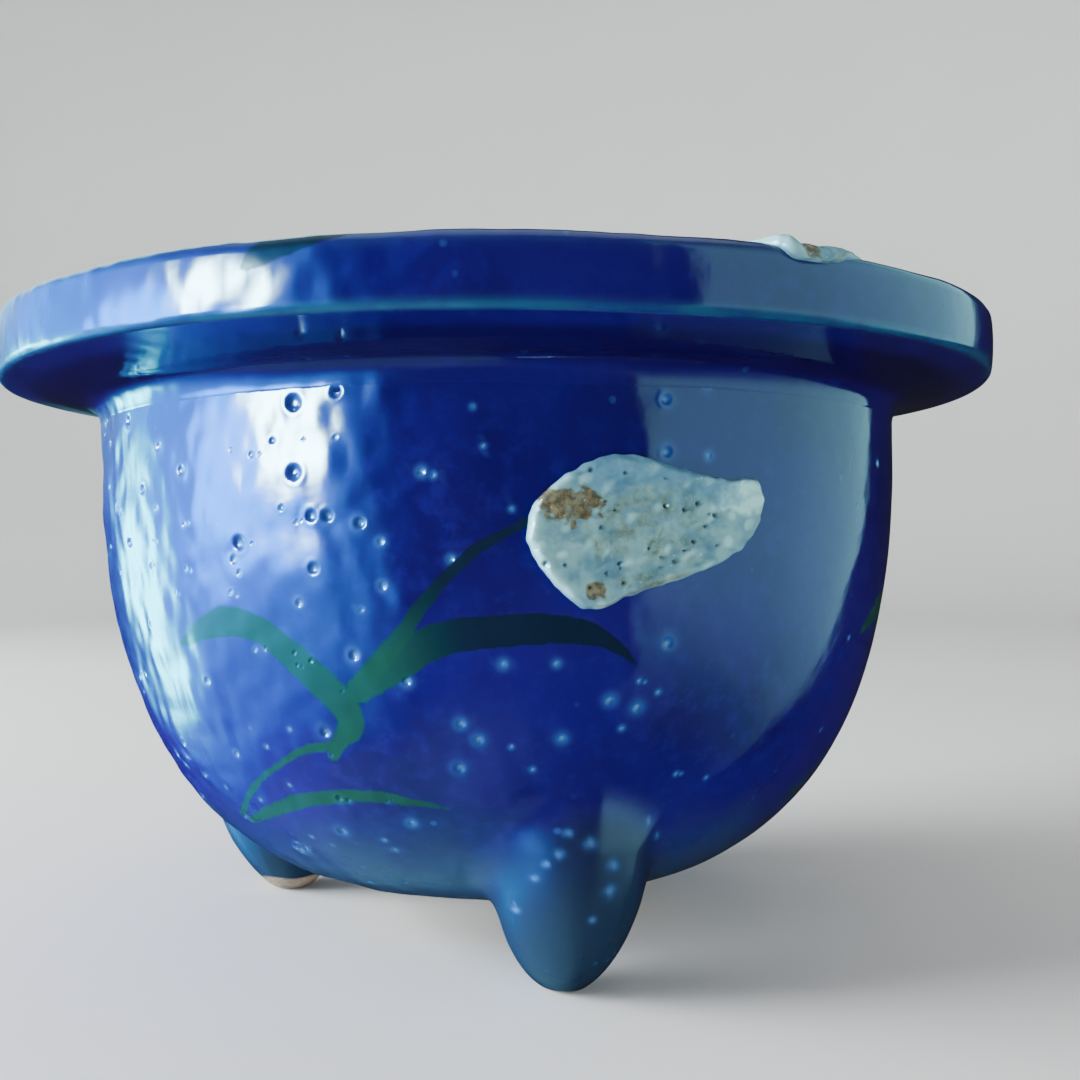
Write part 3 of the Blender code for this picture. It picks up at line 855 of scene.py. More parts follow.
def blossom_grid():
    """The blossom's outline filled with rings: (places in mm, distances from the edge, points in a ring)."""
    outline = smooth_path(BLOSSOM_OUTLINE, BLOSSOM_STEPS, closed=True)
    outline = outline + 0.12 * np.stack([waves(20 + k, 1.2, 3.5)(flat_points(outline)) for k in range(2)], 1)
    # The rings are closer together towards the edge
    sizes = 1 - (1 - np.arange(1, BLOSSOM_RINGS + 1) / BLOSSOM_RINGS) ** 1.5
    local = sizes[:, None, None] * outline[None]
    depth = (1 - sizes)[:, None] * np.linalg.norm(outline, axis=1)[None]
    return local.reshape(-1, 2), depth.ravel(), len(outline)


def build_blossom(name, place, scale_x, scale_y, thickness, material, seed):
    """A thick pool of slip and enamel with a rolled edge, lumps and burst bubbles."""
    local, depth, count = blossom_grid()
    local = np.concatenate([[(0.0, 0.0)], local])
    depth = np.concatenate([[7.0], depth])
    lumps, grains = waves(seed, 1.6, 4.5), waves(seed + 1, 0.7, 1.5)
    rng = np.random.default_rng(SEED + seed)
    pits = list(BLOSSOM_PITS)
    pits += [(x, y, 0.12 + 0.14 * rng.random()) for x, y in rng.uniform((-13, -7), (13, 7), (12, 2))]

    def height_at(local, depth):
        flat = flat_points(local)
        thick = 0.66 + 0.44 * smoothstep(-local[:, 0], 5.0, 13.0) - 0.20 * smoothstep(local[:, 1], 3.0, 8.0)
        roll = 0.26 * np.exp(-(((depth - 0.9) / 0.6) ** 2))
        body = thick + roll + 0.24 * lumps(flat) + 0.07 * grains(flat)
        holes = np.zeros(len(local))
        for x, y, size in pits:
            off = np.hypot(local[:, 0] - x, local[:, 1] - y) / size
            holes += 0.5 * np.exp(-(off**4)) - 0.06 * np.exp(-(((off - 1.5) / 0.5) ** 2))
        edge = np.sqrt(np.clip(1 - (1 - np.clip(depth / 0.55, 0, 1)) ** 2, 0, 1))
        return thickness * edge * np.maximum(body - holes, 0.12)

    lift = height_at(local, depth)
    scaled = local * (scale_x, scale_y)
    top = place(scaled[:, 0], scaled[:, 1], lift)
    rim_ring = scaled[-count:]
    skirt = place(rim_ring[:, 0], rim_ring[:, 1], np.full(count, -BLOSSOM_ROOT))
    middle = place(np.zeros(1), np.zeros(1), np.full(1, -BLOSSOM_ROOT))
    points = np.concatenate([top, skirt, middle])
    faces, _ = point_outwards(points, patch_faces(count, BLOSSOM_RINGS + 1), None)
    marks = blossom_marks(local, depth, pits)
    spare = len(points) - len(local)
    marks = {mark: np.concatenate([values, np.zeros(spare)]) for mark, values in marks.items()}
    return add_piece(f"slip_{name}", name, points, faces, material, None, marks)


def patch(local, x, y, half_x, half_y, seed, ragged=0.5):
    """A weight of 1 inside a ragged patch, 0 outside."""
    flat = flat_points(local)
    off = np.hypot((local[:, 0] - x) / half_x, (local[:, 1] - y) / half_y)
    off += ragged * (0.6 * waves(seed, 1.2, 3.0)(flat) + 0.3 * waves(seed + 1, 0.5, 1.1)(flat))
    return smoothstep(1.25 - off, 0.0, 0.45)


def blossom_marks(local, depth, pits):
    """Where the enamel is stained, thin, mottled, open or pale, as weights for the material. The pale weight is
    partly painted highlight, on the tip and the left edge.
    """
    x, y = local[:, 0], local[:, 1]
    stain = patch(local, -9.9, 2.9, 3.4, 2.0, 60, 0.55)
    stain = np.maximum(stain, patch(local, -7.0, -6.7, 1.3, 1.0, 62, 0.35))
    crack = np.exp(-((np.abs(y - 3.5 - 0.35 * np.sin(2.2 * x)) / 0.16) ** 2)) * smoothstep(x, -8.0, -7.0)
    stain = np.maximum(stain, crack * smoothstep(-x, 5.6, 6.3))
    thin = smoothstep(y - 0.09 * x, 3.8, 6.4) * smoothstep(x, -11.0, -6.0) * smoothstep(12.0 - x, 0, 3)
    thin = np.maximum(thin, patch(local, 8.6, 4.4, 3.0, 1.7, 64, 0.4) * 0.8)
    thin = np.maximum(thin, 0.8 * np.exp(-((depth / 0.3) ** 2)))
    mottle = patch(local, -1.2, 0.4, 6.8, 4.2, 66, 0.5)
    mottle = np.maximum(mottle, 0.8 * patch(local, 0.5, -5.6, 6.0, 1.0, 68, 0.3))
    open_pit = np.zeros(len(local))
    for pit_x, pit_y, size in pits:
        off = np.hypot(x - pit_x, y - pit_y) / size
        open_pit = np.maximum(open_pit, np.exp(-((off / 0.85) ** 4)))
    # The pale weight: painted highlight on the tip and along the left edge, and paler patches of enamel at random
    pale = 0.95 * patch(local, 11.9, 3.9, 3.5, 1.8, 72, 0.3)
    pale = np.maximum(pale, np.exp(-((depth / 1.0) ** 2)) * smoothstep(-x, 8.0, 12.0))
    pale = np.maximum(pale, 0.6 * smoothstep(waves(74, 1.8, 4.0)(flat_points(local)), 0.35, 1.0))
    golden = np.exp(-(((depth - 0.5) / 0.35) ** 2)) * smoothstep(-y, 3.5, 5.0) * smoothstep(6.0 - x, 0, 3)
    stain = np.maximum(stain, 0.55 * golden * smoothstep(x, -8.0, -6.5))
    return {"stain": stain, "thin": thin, "mottle": mottle, "pit": open_pit, "pale": pale}


def build_blossoms(material):
    for index, (name, (azimuth, scale_x, scale_y)) in enumerate(MOTIFS.items()):

        def place(x, y, lift, middle=azimuth):
            height = BLOSSOM_HEIGHT + y
            angle = math.radians(middle) + x / WALL_RADIUS
            true = turned_points(angle, np.stack([wall_radius_at(height), height], -1))
            lift = lift + glaze_relief(true)
            return true + turned_points(angle, np.stack([np.ones_like(x), np.zeros_like(x)], -1)) * lift[:, None]

        build_blossom(name, place, scale_x, scale_y, 1.0, material, 30 + 4 * index)

    profile = rim_profile()
    middle = profile.where((RIM_BLOSSOM_RADIUS, RIM_TOP))

    def place_on_rim(x, y, lift):
        outwards = smooth_least(-y * RIM_BLOSSOM_DROOP, RIM_BLOSSOM_REACH, 2.0)
        along = middle - np.where(y < 0, np.maximum(outwards, 0.0), -y)
        angle = math.radians(RIM_BLOSSOM_AZIMUTH) + x / RIM_BLOSSOM_RADIUS
        true = turned_points(angle, profile.at(along))
        true[:, 2] += rim_rise(angle, profile.at(along)[:, 1])
        return true + turned_points(angle, profile.normal(along)) * (lift + glaze_relief(true))[:, None]

    scale = RIM_BLOSSOM_SCALE
    build_blossom("blossom_rim", place_on_rim, 0.86 * scale, scale, 0.8, material, 50)


# ---------------------------------------------------------------- drain screen and clip


def swept(path, half_width, half_height, sides=14, squareness=2.0):
    """Points and faces of a closed tube along a path, with a superellipse section and rounded ends."""
    path = np.array(path, float)
    way = np.gradient(path, axis=0)
    way /= np.linalg.norm(way, axis=1)[:, None]
    up = np.array((0.0, 0.0, 1.0)) - way * way[:, 2:3]
    small = np.linalg.norm(up, axis=1) < 0.2
    up[small] = np.array((0.0, 1.0, 0.0)) - way[small] * way[small, 1:2]
    up /= np.linalg.norm(up, axis=1)[:, None]
    side = np.cross(way, up)
    angle = np.arange(sides) * 2 * math.pi / sides
    flat_x = np.sign(np.cos(angle)) * np.abs(np.cos(angle)) ** (2 / squareness)
    flat_y = np.sign(np.sin(angle)) * np.abs(np.sin(angle)) ** (2 / squareness)
    travelled = np.concatenate([[0], np.cumsum(np.linalg.norm(np.diff(path, axis=0), axis=1))])
    end_gap = np.minimum(travelled, travelled[-1] - travelled)
    swell = np.sqrt(np.clip(1 - (1 - np.clip((end_gap + 0.06) / (half_height * 0.6), 0, 1)) ** 2, 0.02, 1))
    rings = (
        path[:, None]
        + side[:, None] * (half_width * swell[:, None] * flat_x)[..., None]
        + up[:, None] * (half_height * swell[:, None] * flat_y)[..., None]
    )
    last_ring = (len(path) - 1) * sides
    caps = [list(range(sides)), [last_ring + i for i in reversed(range(sides))]]
    return rings.reshape(-1, 3), band_faces(sides, len(path)) + caps


def build_screen(material):
    """Moulded strands both ways as one mesh, slightly wavy where they cross."""
    points, faces = [], []
    wobble = waves(71, 6, 20)
    half = (SCREEN_HOLES * SCREEN_PITCH + SCREEN_BAR) / 2
    middle = SCREEN_BOTTOM + SCREEN_THICKNESS / 2
    count = 0
    for turned_over in (False, True):
        for line in range(SCREEN_HOLES + 1):
            offset = (line - SCREEN_HOLES / 2) * SCREEN_PITCH
            run = np.linspace(-half, half, 120)
            # Extra points beside the ends, for their rounding
            run = np.sort(np.append(run, (half - 0.05, half - 0.15, 0.05 - half, 0.15 - half)))
            crossing = np.cos(2 * math.pi * (run / SCREEN_PITCH + 0.5 * (SCREEN_HOLES % 2)))
            level = middle + 0.03 * crossing * (1 if turned_over else -1)
            straight = np.stack([run, np.full_like(run, offset), level], 1)
            straight[:, 1] += 0.05 * wobble(straight)
            if turned_over:
                straight = straight[:, [1, 0, 2]]
            strand, strand_faces = swept(straight, 0.5 * SCREEN_BAR * 0.93, 0.5 * SCREEN_THICKNESS * 0.9, 12, 2.8)
            points.append(strand)
            faces += [[count + k for k in face] for face in strand_faces]
            count += len(strand)
    return add_piece("mesh_screen", "drain_screen", np.concatenate(points), faces, material)


def build_clip(material):
    lying = FLOOR_TOP + 2 * PIECE_GAP + SCREEN_THICKNESS + WIRE_RADIUS
    under = BASE_HEIGHT - PIECE_GAP - WIRE_RADIUS
    half = [(CLIP_TAIL_X, 0.0, under), (CLIP_TAIL_X - 3.0, 0.0, under)]
    for turn in np.radians((90, 72, 54, 36, 18, 0)):
        half.append((CLIP_LEG_X + CLIP_BEND * (1 - math.cos(turn)), 0.0, under + CLIP_BEND * (1 - math.sin(turn))))
    for turn in np.radians((0, 18, 36, 54, 72, 90)):
        half.append((CLIP_LEG_X + CLIP_BEND * (1 - math.cos(turn)), 0.0, lying - CLIP_BEND * (1 - math.sin(turn))))
    half += [(x, y, lying) for x, y in CLIP_LOOP]
    other = [(-x, -y, z) for x, y, z in reversed(half)]
    path = smooth_path(half + [(0.0, 0.0, lying)] + other, 7)
    path = path + 0.04 * waves(75, 5, 14)(path)[:, None]
    points, faces = swept(path, WIRE_RADIUS, WIRE_RADIUS, 18)
    return add_piece("wire_clip", "screen_clip", points, faces, material)


# ---------------------------------------------------------------- materials


class Nodes:
    """Shorthand for building a material's nodes."""

    def __init__(self, name):
        self.material = bpy.data.materials.new(name)
        self.material.use_nodes = True
        self.tree = self.material.node_tree
        self.shader = self.tree.nodes["Principled BSDF"]

    def put(self, socket, value):
        if isinstance(value, bpy.types.NodeSocket):
            self.tree.links.new(value, socket)
        elif isinstance(value, tuple) and len(value) == 3 and socket.type == "RGBA":
            socket.default_value = (*value, 1.0)
        else:
            socket.default_value = value

    def add(self, kind, inputs=None, output=0, **settings):
        made = self.tree.nodes.new("ShaderNode" + kind)
        for name, value in settings.items():
            setattr(made, name, value)
        for key, value in (inputs or {}).items():
            self.put(made.inputs[key], value)
        return made.outputs[output]

    def math(self, operation, a, b=0.0, c=0.0):
        return self.add("Math", {0: a, 1: b, 2: c}, operation=operation)

    def mix(self, factor, a, b):
        return self.add("Mix", {0: factor, 6: a, 7: b}, output=2, data_type="RGBA")

    def blend(self, factor, a, b):
        return self.add("Mix", {0: factor, 2: a, 3: b}, data_type="FLOAT")

    def ramp(self, value, low, high, to_low=0.0, to_high=1.0):
        inputs = {0: value, 1: low, 2: high, 3: to_low, 4: to_high}
        return self.add("MapRange", inputs, interpolation_type="SMOOTHSTEP")

    def noise(self, vector, scale, detail=3.0, roughness=0.5):
        inputs = {"Vector": vector, "Scale": scale, "Detail": detail, "Roughness": roughness}
        return self.add("TexNoise", inputs)

    def coordinates(self):
        return self.add("TexCoord", output="Object")

    def mark(self, name, output="Fac"):
        return self.add("Attribute", output=output, attribute_name=name)

    def weight(self, name, most):
        """A mark as a weight, with the most that it may be."""
        return self.math("MULTIPLY", self.mark(name), most)

    def centred(self, value, span):
        """A noise as an offset about 0, with the span that it covers."""
        return self.math("MULTIPLY_ADD", value, span, -span / 2)

    def set(self, **values):
        """Values and links for the shader's own sockets, with _ for a space."""
        for name, value in values.items():
            self.put(self.shader.inputs[name.replace("_", " ")], value)
        return self.material


# Colours of the glaze, the strokes and the clay
COBALT_DEEP = (0.0085, 0.0008, 0.095)
COBALT = (0.014, 0.0026, 0.155)
COBALT_BRIGHT = (0.019, 0.012, 0.22)
COBALT_MILKY = (0.027, 0.080, 0.155)
# Painted shade for the underside of the flange
COBALT_PAINTED_SHADE = (0.006, 0.0015, 0.038)
FOOT_TEAL = (0.006, 0.014, 0.034)
PIT_BLUE = (0.03, 0.15, 0.48)
# A pit's bright middle, partly painted highlight
PIT_CORE_AND_PAINTED_GLINT = (0.12, 0.34, 0.52)
LEAF_GREEN = (0.009, 0.072, 0.048)
LEAF_DARK = (0.005, 0.017, 0.030)
THIN_TEAL = (0.012, 0.085, 0.18)
GLAZE_IOR = 1.52
CLAY = (0.42, 0.29, 0.19)
CLAY_DARK = (0.20, 0.125, 0.08)
CLAY_GRAIN = (0.58, 0.46, 0.33)
CLAY_SOAKED = (0.11, 0.055, 0.03)


def stroke_layer(kit, name, wander):
    """(cover, colour) of one brush stroke: green and soft-edged, dark all along on the rim, and on some strokes
    darker along their length as painted shade.
    """
    parts = kit.add("SeparateXYZ", {0: kit.mark(name, "Vector")}).node.outputs
    side, width, along = parts[0], parts[1], parts[2]
    inner = kit.math("SUBTRACT", width, kit.math("ABSOLUTE", side))
    cover = kit.ramp(kit.math("ADD", inner, wander), -0.1, 0.3, 0.0, 0.93)
    dark_and_shaded = 1.0 if name in DARK_STROKES else 0.0
    if name in SHADED_STROKES:
        # Painted shade: these strokes darken along their length, towards the right
        dark_and_shaded = kit.ramp(along, 3.0, 17.0)
    return cover, kit.mix(dark_and_shaded, LEAF_GREEN, LEAF_DARK)


def clay_look(kit, place):
    """(colour, grain, bump) of bare grogged clay."""
    grog = kit.noise(place, 1400.0, 4.0, 0.7)
    clay = kit.mix(kit.ramp(kit.noise(place, 70.0, 4.0), 0.3, 0.7), CLAY_DARK, CLAY)
    clay = kit.mix(kit.ramp(grog, 0.35, 0.7, 0.0, 0.5), clay, CLAY_GRAIN)
    return clay, grog, kit.add("Bump", {"Height": grog, "Distance": 0.00025, "Strength": 0.8})


def glazed_ceramic(name, strokes=(), pits=False, all_glazed=False, lobe=False):
    """Cobalt glaze over clay: mottled, milky low down, with painted shade towards the neck and under the flange,
    pits partly painted as highlights, strokes and bare clay where they are marked.
    """
    kit = Nodes(name)
    place = kit.coordinates()
    height = kit.add("SeparateXYZ", {0: place}, output=2)
    clouds = kit.noise(place, 38.0, 3.0)
    mottle = kit.noise(place, 420.0, 3.0, 0.6)
    colour = kit.mix(kit.ramp(clouds, 0.36, 0.62), COBALT_DEEP, COBALT)
    colour = kit.mix(kit.ramp(mottle, 0.45, 0.75, 0.0, 0.4), colour, COBALT_BRIGHT)
    # Painted shade: darker from 56 mm upwards, for the shade under the flange; the rim gets the same darkening
    neck_painted_shade = kit.ramp(height, 0.056, 0.080, 0.0, 0.4)
    colour = kit.mix(neck_painted_shade, colour, COBALT_DEEP)
    jitter = kit.centred(kit.noise(place, 90.0, 3.0), 0.012)
    low = kit.ramp(kit.math("ADD", height, jitter), 0.028, 0.007, 0.0, 0.9)
    colour = kit.mix(low, colour, COBALT_MILKY)
    if lobe:
        colour = kit.mix(kit.weight("lobe", 0.7), colour, FOOT_TEAL)
    # Pinprick bubbles just under the surface
    cells = kit.add("TexVoronoi", {"Vector": place, "Scale": 330.0}, output="Distance")
    swarms = kit.ramp(kit.noise(place, 130.0, 1.0), 0.56, 0.70)
    bubbles = kit.math("MULTIPLY", kit.ramp(cells, 0.20, 0.07), swarms)
    colour = kit.mix(kit.math("MULTIPLY", bubbles, 0.3), colour, PIT_BLUE)
    if pits:
        # Painted highlight, in part: the pits' glow and bright middle stand for light caught in their hollows as
        # well as for milky glaze
        colour = kit.mix(kit.weight("pit", 0.8), colour, PIT_BLUE)
        colour = kit.mix(kit.weight("core_and_painted_glint", 0.8), colour, PIT_CORE_AND_PAINTED_GLINT)
    if all_glazed:
        # Painted shade under the flange
        colour = kit.mix(kit.weight("under", 0.85), colour, COBALT_PAINTED_SHADE)
        thin = kit.weight("thin", kit.ramp(kit.noise(place, 160.0, 3.0), 0.3, 0.6, 0.45, 0.95))
        colour = kit.mix(thin, colour, THIN_TEAL)
    wander = kit.centred(kit.noise(place, 700.0, 3.0), 0.6)
    painted = 0.0
    for stroke in strokes:
        cover, shade = stroke_layer(kit, stroke, wander)
        colour = kit.mix(cover, colour, shade)
        painted = kit.math("MAXIMUM", painted, cover)
    specular = kit.ramp(painted, 0.0, 1.0, 0.5, 0.16) if strokes else 0.5

    smear = kit.noise(place, 60.0, 2.0)
    gloss = kit.math("MULTIPLY_ADD", kit.mark("boiled"), 0.13, kit.ramp(smear, 0.35, 0.7, 0.04, 0.10))
    if lobe:
        gloss = kit.math("MULTIPLY_ADD", kit.mark("lobe"), 0.12, gloss)
    gloss = kit.math("MINIMUM", gloss, 0.26)
    skin = kit.noise(place, 620.0, 1.0)
    glaze_bump = kit.add("Bump", {"Height": skin, "Distance": 0.00003, "Strength": 0.5})
    kit.set(Specular_IOR_Level=specular, IOR=GLAZE_IOR)
    if all_glazed:
        return kit.set(Base_Color=colour, Roughness=gloss, Normal=glaze_bump)

    clay, grog, clay_bump = clay_look(kit, place)
    glazed = kit.ramp(kit.math("ADD", kit.mark("glazed"), kit.centred(grog, 0.3)), 0.42, 0.58)
    # A dark line of soaked clay beside the glaze
    soaked = kit.math("MULTIPLY", kit.ramp(kit.mark("glazed"), 0.1, 0.5), 0.6)
    clay = kit.mix(soaked, clay, CLAY_SOAKED)
    colour = kit.mix(glazed, clay, colour)
    roughness = kit.blend(glazed, 0.86, gloss)
    normal = kit.add("Mix", {0: glazed, 4: clay_bump, 5: glaze_bump}, output=1, data_type="VECTOR")
    return kit.set(Base_Color=colour, Roughness=roughness, Normal=normal)


def bare_clay():
    kit = Nodes("bare_clay")
    clay, grog, bump = clay_look(kit, kit.coordinates())
    rough = kit.ramp(grog, 0.3, 0.7, 0.8, 0.94)
    return kit.set(Base_Color=clay, Roughness=rough, Normal=bump, IOR=1.45)


# Colours of the slip and its enamel
ENAMEL_IOR = 1.5
ENAMEL_PALE_AND_PAINTED_HIGHLIGHT = (0.44, 0.90, 0.88)
ENAMEL_WHITE = (0.205, 0.44, 0.475)
ENAMEL_BLUISH = (0.105, 0.255, 0.345)
ENAMEL_THIN = (0.10, 0.28, 0.44)
MOTTLE = (0.24, 0.36, 0.27)
MOTTLE_DARK = (0.09, 0.16, 0.11)
STAIN_GOLD = (0.22, 0.165, 0.060)
STAIN_BROWN = (0.075, 0.050, 0.013)
SPARK = (0.82, 0.93, 0.90)
OPEN_BUBBLE = (0.010, 0.018, 0.030)


def slip_enamel():
    """Opaque white enamel, bluish where thin and paler in patches, with ochre and green mottling, brown stains, dark
    open pits, and painted highlights on the tip and the left edge.
    """
    kit = Nodes("slip_enamel")
    place = kit.coordinates()
    fine = kit.noise(place, 1500.0, 4.0, 0.65)
    broad = kit.noise(place, 320.0, 3.0)
    white = kit.mix(kit.ramp(broad, 0.35, 0.65), ENAMEL_BLUISH, ENAMEL_WHITE)
    # Painted highlight, in part: the pale mark brightens the tip and the left edge, as well as paler patches of
    # enamel
    white = kit.mix(kit.mark("pale"), white, ENAMEL_PALE_AND_PAINTED_HIGHLIGHT)
    mottled = kit.mix(kit.ramp(fine, 0.32, 0.70), MOTTLE_DARK, MOTTLE)
    patches = kit.ramp(kit.noise(place, 420.0, 3.0), 0.38, 0.64, 0.0, 0.75)
    colour = kit.mix(kit.weight("mottle", patches), white, mottled)
    colour = kit.mix(kit.weight("thin", kit.ramp(fine, 0.3, 0.7, 0.5, 0.85)), colour, ENAMEL_THIN)
    brown = kit.mix(kit.ramp(fine, 0.38, 0.62), STAIN_BROWN, STAIN_GOLD)
    stain = kit.ramp(kit.math("ADD", kit.mark("stain"), kit.centred(fine, 0.3)), 0.1, 0.9, 0.0, 0.9)
    colour = kit.mix(stain, colour, brown)
    sparks = kit.ramp(kit.noise(place, 1900.0, 2.0), 0.66, 0.78, 0.0, 0.25)
    colour = kit.mix(sparks, colour, SPARK)
    colour = kit.mix(kit.weight("pit", 0.95), colour, OPEN_BUBBLE)
    rough = kit.ramp(broad, 0.3, 0.7, 0.12, 0.26)
    bump = kit.add("Bump", {"Height": fine, "Distance": 0.00014, "Strength": 0.6})
    return kit.set(Base_Color=colour, Roughness=rough, Normal=bump, IOR=ENAMEL_IOR)


def screen_plastic():
    kit = Nodes("screen_plastic")
    place = kit.coordinates()
    dust = kit.noise(place, 700.0, 4.0, 0.7)
    colour = kit.mix(kit.ramp(dust, 0.45, 0.8, 0.0, 0.45), (0.016, 0.022, 0.018), (0.10, 0.09, 0.07))
    bump = kit.add("Bump", {"Height": kit.noise(place, 2600.0, 3.0), "Distance": 0.00008, "Strength": 0.5})
    return kit.set(Base_Color=colour, Roughness=kit.ramp(dust, 0.3, 0.8, 0.38, 0.7), Normal=bump, IOR=1.46)


def clip_aluminium():
    kit = Nodes("clip_aluminium")
    place = kit.coordinates()
    tarnish = kit.noise(place, 500.0, 4.0, 0.6)
    colour = kit.mix(kit.ramp(tarnish, 0.4, 0.75), (0.72, 0.72, 0.71), (0.42, 0.40, 0.37))
    bump = kit.add("Bump", {"Height": kit.noise(place, 3000.0, 2.0), "Distance": 0.00004, "Strength": 0.5})
    rough = kit.ramp(tarnish, 0.3, 0.8, 0.28, 0.55)
    return kit.set(Base_Color=colour, Roughness=rough, Normal=bump, Metallic=1.0)


# ---------------------------------------------------------------- stage, lights and camera


GLOW_RADIUS = 3.0
# Height in metres of the middle of the pot, which the lights and the glow dome are centred on
POT_MIDDLE = 0.05
# The backdrop in metres: where the floor starts to rise, the bend's radius, and the heights of its wall
FLOOR_RADIUS = 0.9
BEND_RADIUS = 0.5
BACKDROP_HEIGHTS = (0.9, 1.6)


def build_stage():
    """A pale floor that rises into a backdrop all round. The glaze doesn't mirror it."""
    kit = Nodes("pale_floor")
    place = kit.coordinates()
    colour = kit.mix(kit.noise(place, 6.0, 3.0), (0.74, 0.74, 0.73), (0.79, 0.785, 0.77))
    material = kit.set(Base_Color=colour, Roughness=0.9, Specular_IOR_Level=0.0)
    bend = np.radians(np.arange(10, 91, 10))
    sweep = [(FLOOR_RADIUS / 3, 0.0), (FLOOR_RADIUS * 2 / 3, 0.0), (FLOOR_RADIUS, 0.0)]
    sweep += [(FLOOR_RADIUS + BEND_RADIUS * math.sin(a), BEND_RADIUS * (1 - math.cos(a))) for a in bend]
    sweep += [(FLOOR_RADIUS + BEND_RADIUS, height) for height in BACKDROP_HEIGHTS]
    columns = 96
    azimuth = np.tile(np.arange(columns) * 2 * math.pi / columns, len(sweep))
    rings = turned_points(azimuth, np.repeat(sweep, columns, axis=0))
    faces = [(0, 1 + (i + 1) % columns, 1 + i) for i in range(columns)]
    faces += [[1 + k for k in reversed(face)] for face in band_faces(columns, len(sweep))]
    mesh = bpy.data.meshes.new("pale_floor")
    mesh.from_pydata([(0.0, 0.0, 0.0)] + rings.tolist(), [], faces)
    mesh.shade_smooth()
    mesh.materials.append(material)
    floor = bpy.data.objects.new("pale_floor", mesh)
    floor.visible_glossy = False
    bpy.context.scene.collection.objects.link(floor)


def softbox(name, azimuth, elevation, distance, width, height, radiance, colour):
    """A rectangular light that faces the pot, from an azimuth and elevation in degrees, sizes in metres."""
    light = bpy.data.lights.new(name, "AREA")
    light.shape = "RECTANGLE"
    light.size = width
    light.size_y = height
    light.energy = radiance * math.pi * width * height
    light.color = colour
    lamp = bpy.data.objects.new(name, light)
    turn, rise = math.radians(azimuth), math.radians(elevation)
    target = Vector((0, 0, POT_MIDDLE))
    away = Vector((math.sin(turn) * math.cos(rise), -math.cos(turn) * math.cos(rise), math.sin(rise)))
    lamp.location = target + distance * away
    lamp.rotation_euler = away.to_track_quat("Z", "Y").to_euler()
    lamp.visible_camera = False
    lamp.visible_glossy = False
    bpy.context.scene.collection.objects.link(lamp)


def build_lights():
    """Soft light on the pot and the floor. What the glaze mirrors is the glow dome instead."""
    softbox("overhead", 0, 88, 1.1, 1.2, 1.2, 1.3, (1.0, 0.99, 0.97))
    softbox("left_key", -86, 10, 0.9, 0.55, 0.6, 42.0, (0.92, 0.97, 1.0))


# Soft panels that only reflections see, in degrees: middle, half-width and softness in azimuth, the same in
# elevation, how much wider a panel is per degree of elevation, then its radiance and colour
GLOW_PANELS = (
    # A broad window on the left, its brighter middle, the brightest pane and a greenish one further round
    (-82, 30, 14, 0, 10, 22, 0.0, 12.0, (0.02, 0.33, 1.0)),
    (-70, 12, 7, 0, 5, 6, 0.0, 78.0, (0.015, 0.27, 1.0)),
    (-59, 3, 4, 9, 4, 5, 0.0, 300.0, (0.45, 0.9, 1.0)),
    (-117, 3, 5, -9, 5, 7, 0.0, 60.0, (0.05, 0.8, 1.0)),
    (-146, 16, 8, 26, 10, 8, 0.0, 3.0, (0.35, 0.9, 1.0)),
    # A dim panel on the right
    (79.0, 39.5, 2, 8, 14, 23, 0.55, 2.1, (0.38, 0.95, 1.0)),
    # Light from below on the left, and from straight above
    (-85, 60, 30, -80, 25, 12, 0.0, 0.6, (0.35, 0.85, 1.0)),
    (0, 180, 1, 80, 10, 15, 0.0, 1.2, (0.8, 1.0, 1.0)),
)


def glow_at(azimuth, elevation):
    """The light that a mirror would see in a direction, in degrees: panels with soft edges in a dark room."""
    colour = np.full((len(azimuth), 3), 0.02)
    for middle, half, soft, level, rise, fade, widening, radiance, tint in GLOW_PANELS:
        wider = widening * elevation / 2
        across = np.abs((azimuth - middle - wider + 180) % 360 - 180)
        beside = np.maximum(across - half - wider, 0) / soft
        above = np.maximum(np.abs(elevation - level) - rise, 0) / fade
        shape = np.exp(-(beside**2) - above**2)
        colour = np.maximum(colour, radiance * shape[:, None] * np.array(tint))
    return colour


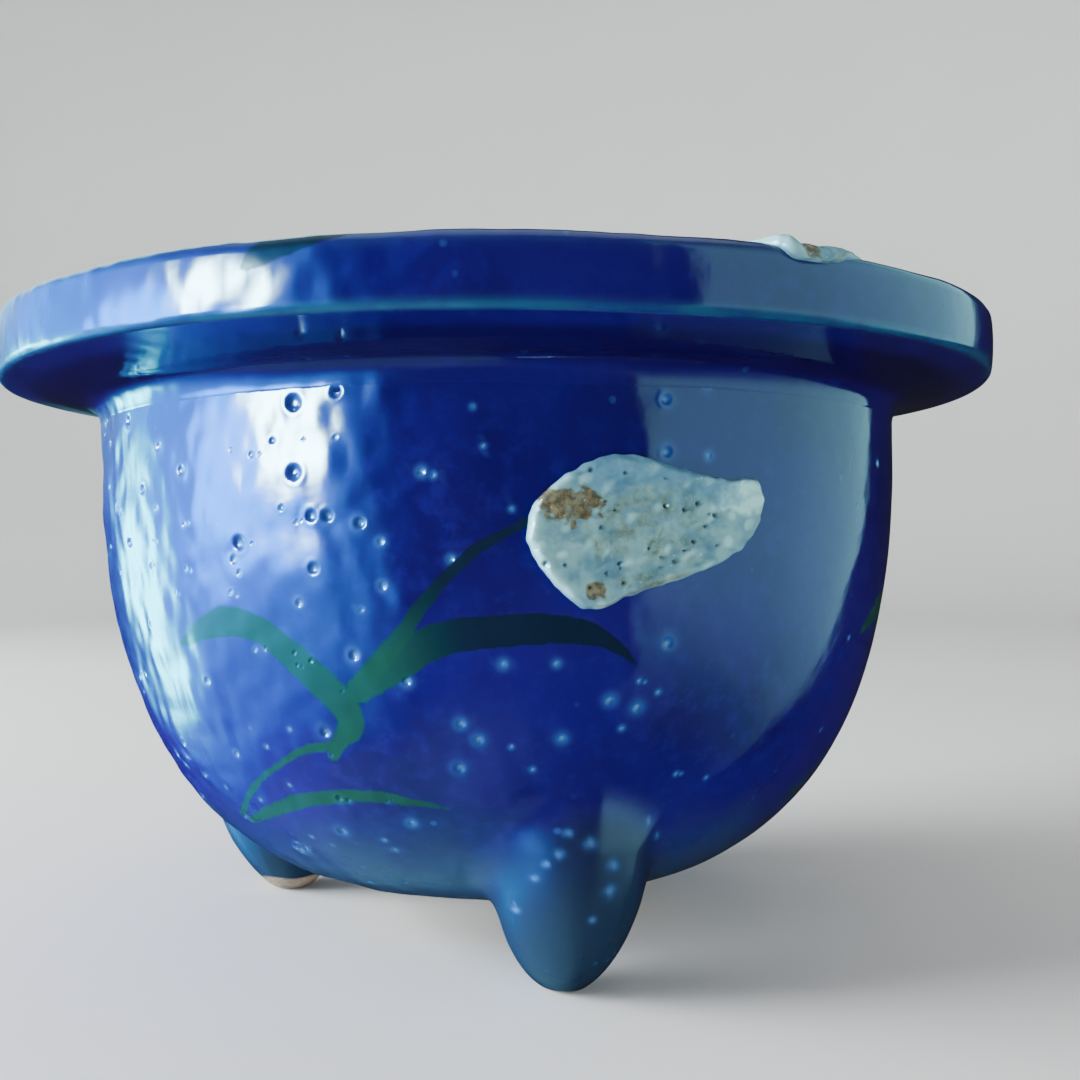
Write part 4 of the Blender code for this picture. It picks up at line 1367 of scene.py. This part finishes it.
def build_glow_dome():
    """A sphere of soft light round the stage that reflections see, and the camera and matt surfaces don't."""
    columns, rings = 240, 121
    round_axis = np.linspace(-180, 180, columns, endpoint=False)
    azimuth, elevation = (a.ravel() for a in np.meshgrid(round_axis, np.linspace(-89.5, 89.5, rings)))
    flat = np.stack([np.cos(np.radians(elevation)), np.sin(np.radians(elevation))], -1)
    points = turned_points(np.radians(azimuth), flat) * GLOW_RADIUS
    mesh = bpy.data.meshes.new("glow_dome")
    mesh.from_pydata(points.tolist(), [], band_faces(columns, rings))
    glow = mesh.attributes.new("glow", "FLOAT_VECTOR", "POINT")
    glow.data.foreach_set("vector", glow_at(azimuth, elevation).astype(np.float32).ravel())
    kit = Nodes("glow_dome")
    light = kit.add("Emission", {"Color": kit.mark("glow", "Vector"), "Strength": 1.0})
    output = kit.tree.nodes["Material Output"]
    kit.tree.links.new(light, output.inputs["Surface"])
    kit.tree.nodes.remove(kit.shader)
    mesh.materials.append(kit.material)
    dome = bpy.data.objects.new("glow_dome", mesh)
    dome.location = (0, 0, POT_MIDDLE)
    for rays in ("camera", "diffuse", "shadow", "transmission", "volume_scatter"):
        setattr(dome, f"visible_{rays}", False)
    bpy.context.scene.collection.objects.link(dome)


def build_world():
    world = bpy.data.worlds.new("dim_room")
    world.use_nodes = True
    background = world.node_tree.nodes["Background"]
    background.inputs["Color"].default_value = (0.55, 0.62, 0.75, 1.0)
    background.inputs["Strength"].default_value = 0.06
    bpy.context.scene.world = world


# The camera's place in metres, its lens and sensor in mm, and how it is turned, in degrees
CAMERA_PLACE = (0.0, -0.19107, 0.05658)
CAMERA_LENS = 39.09
CAMERA_SENSOR = 36.0
CAMERA_PITCH = 90.63
CAMERA_YAW = -1.848
CAMERA_ROLL = -0.445


def build_camera():
    data = bpy.data.cameras.new("camera")
    data.sensor_width = CAMERA_SENSOR
    data.lens = CAMERA_LENS
    data.clip_start = 0.01
    camera = bpy.data.objects.new("camera", data)
    camera.location = CAMERA_PLACE
    aim = Euler((math.radians(CAMERA_PITCH), 0.0, math.radians(CAMERA_YAW))).to_matrix()
    camera.rotation_euler = (aim @ Matrix.Rotation(math.radians(CAMERA_ROLL), 3, "Z")).to_euler()
    bpy.context.scene.collection.objects.link(camera)
    bpy.context.scene.camera = camera


def main():
    build_world()
    build_camera()
    build_lights()
    build_glow_dome()
    build_stage()
    build_wall(glazed_ceramic("wall_glaze", strokes=tuple(STROKES), pits=True))
    build_rim(glazed_ceramic("rim_glaze", strokes=tuple(RIM_STROKES), all_glazed=True))
    build_floor(bare_clay())
    foot_glaze = glazed_ceramic("foot_glaze", pits=True, lobe=True)
    for name, azimuth in FEET.items():
        build_foot(name, azimuth, foot_glaze)
    build_blossoms(slip_enamel())
    build_screen(screen_plastic())
    build_clip(clip_aluminium())


main()
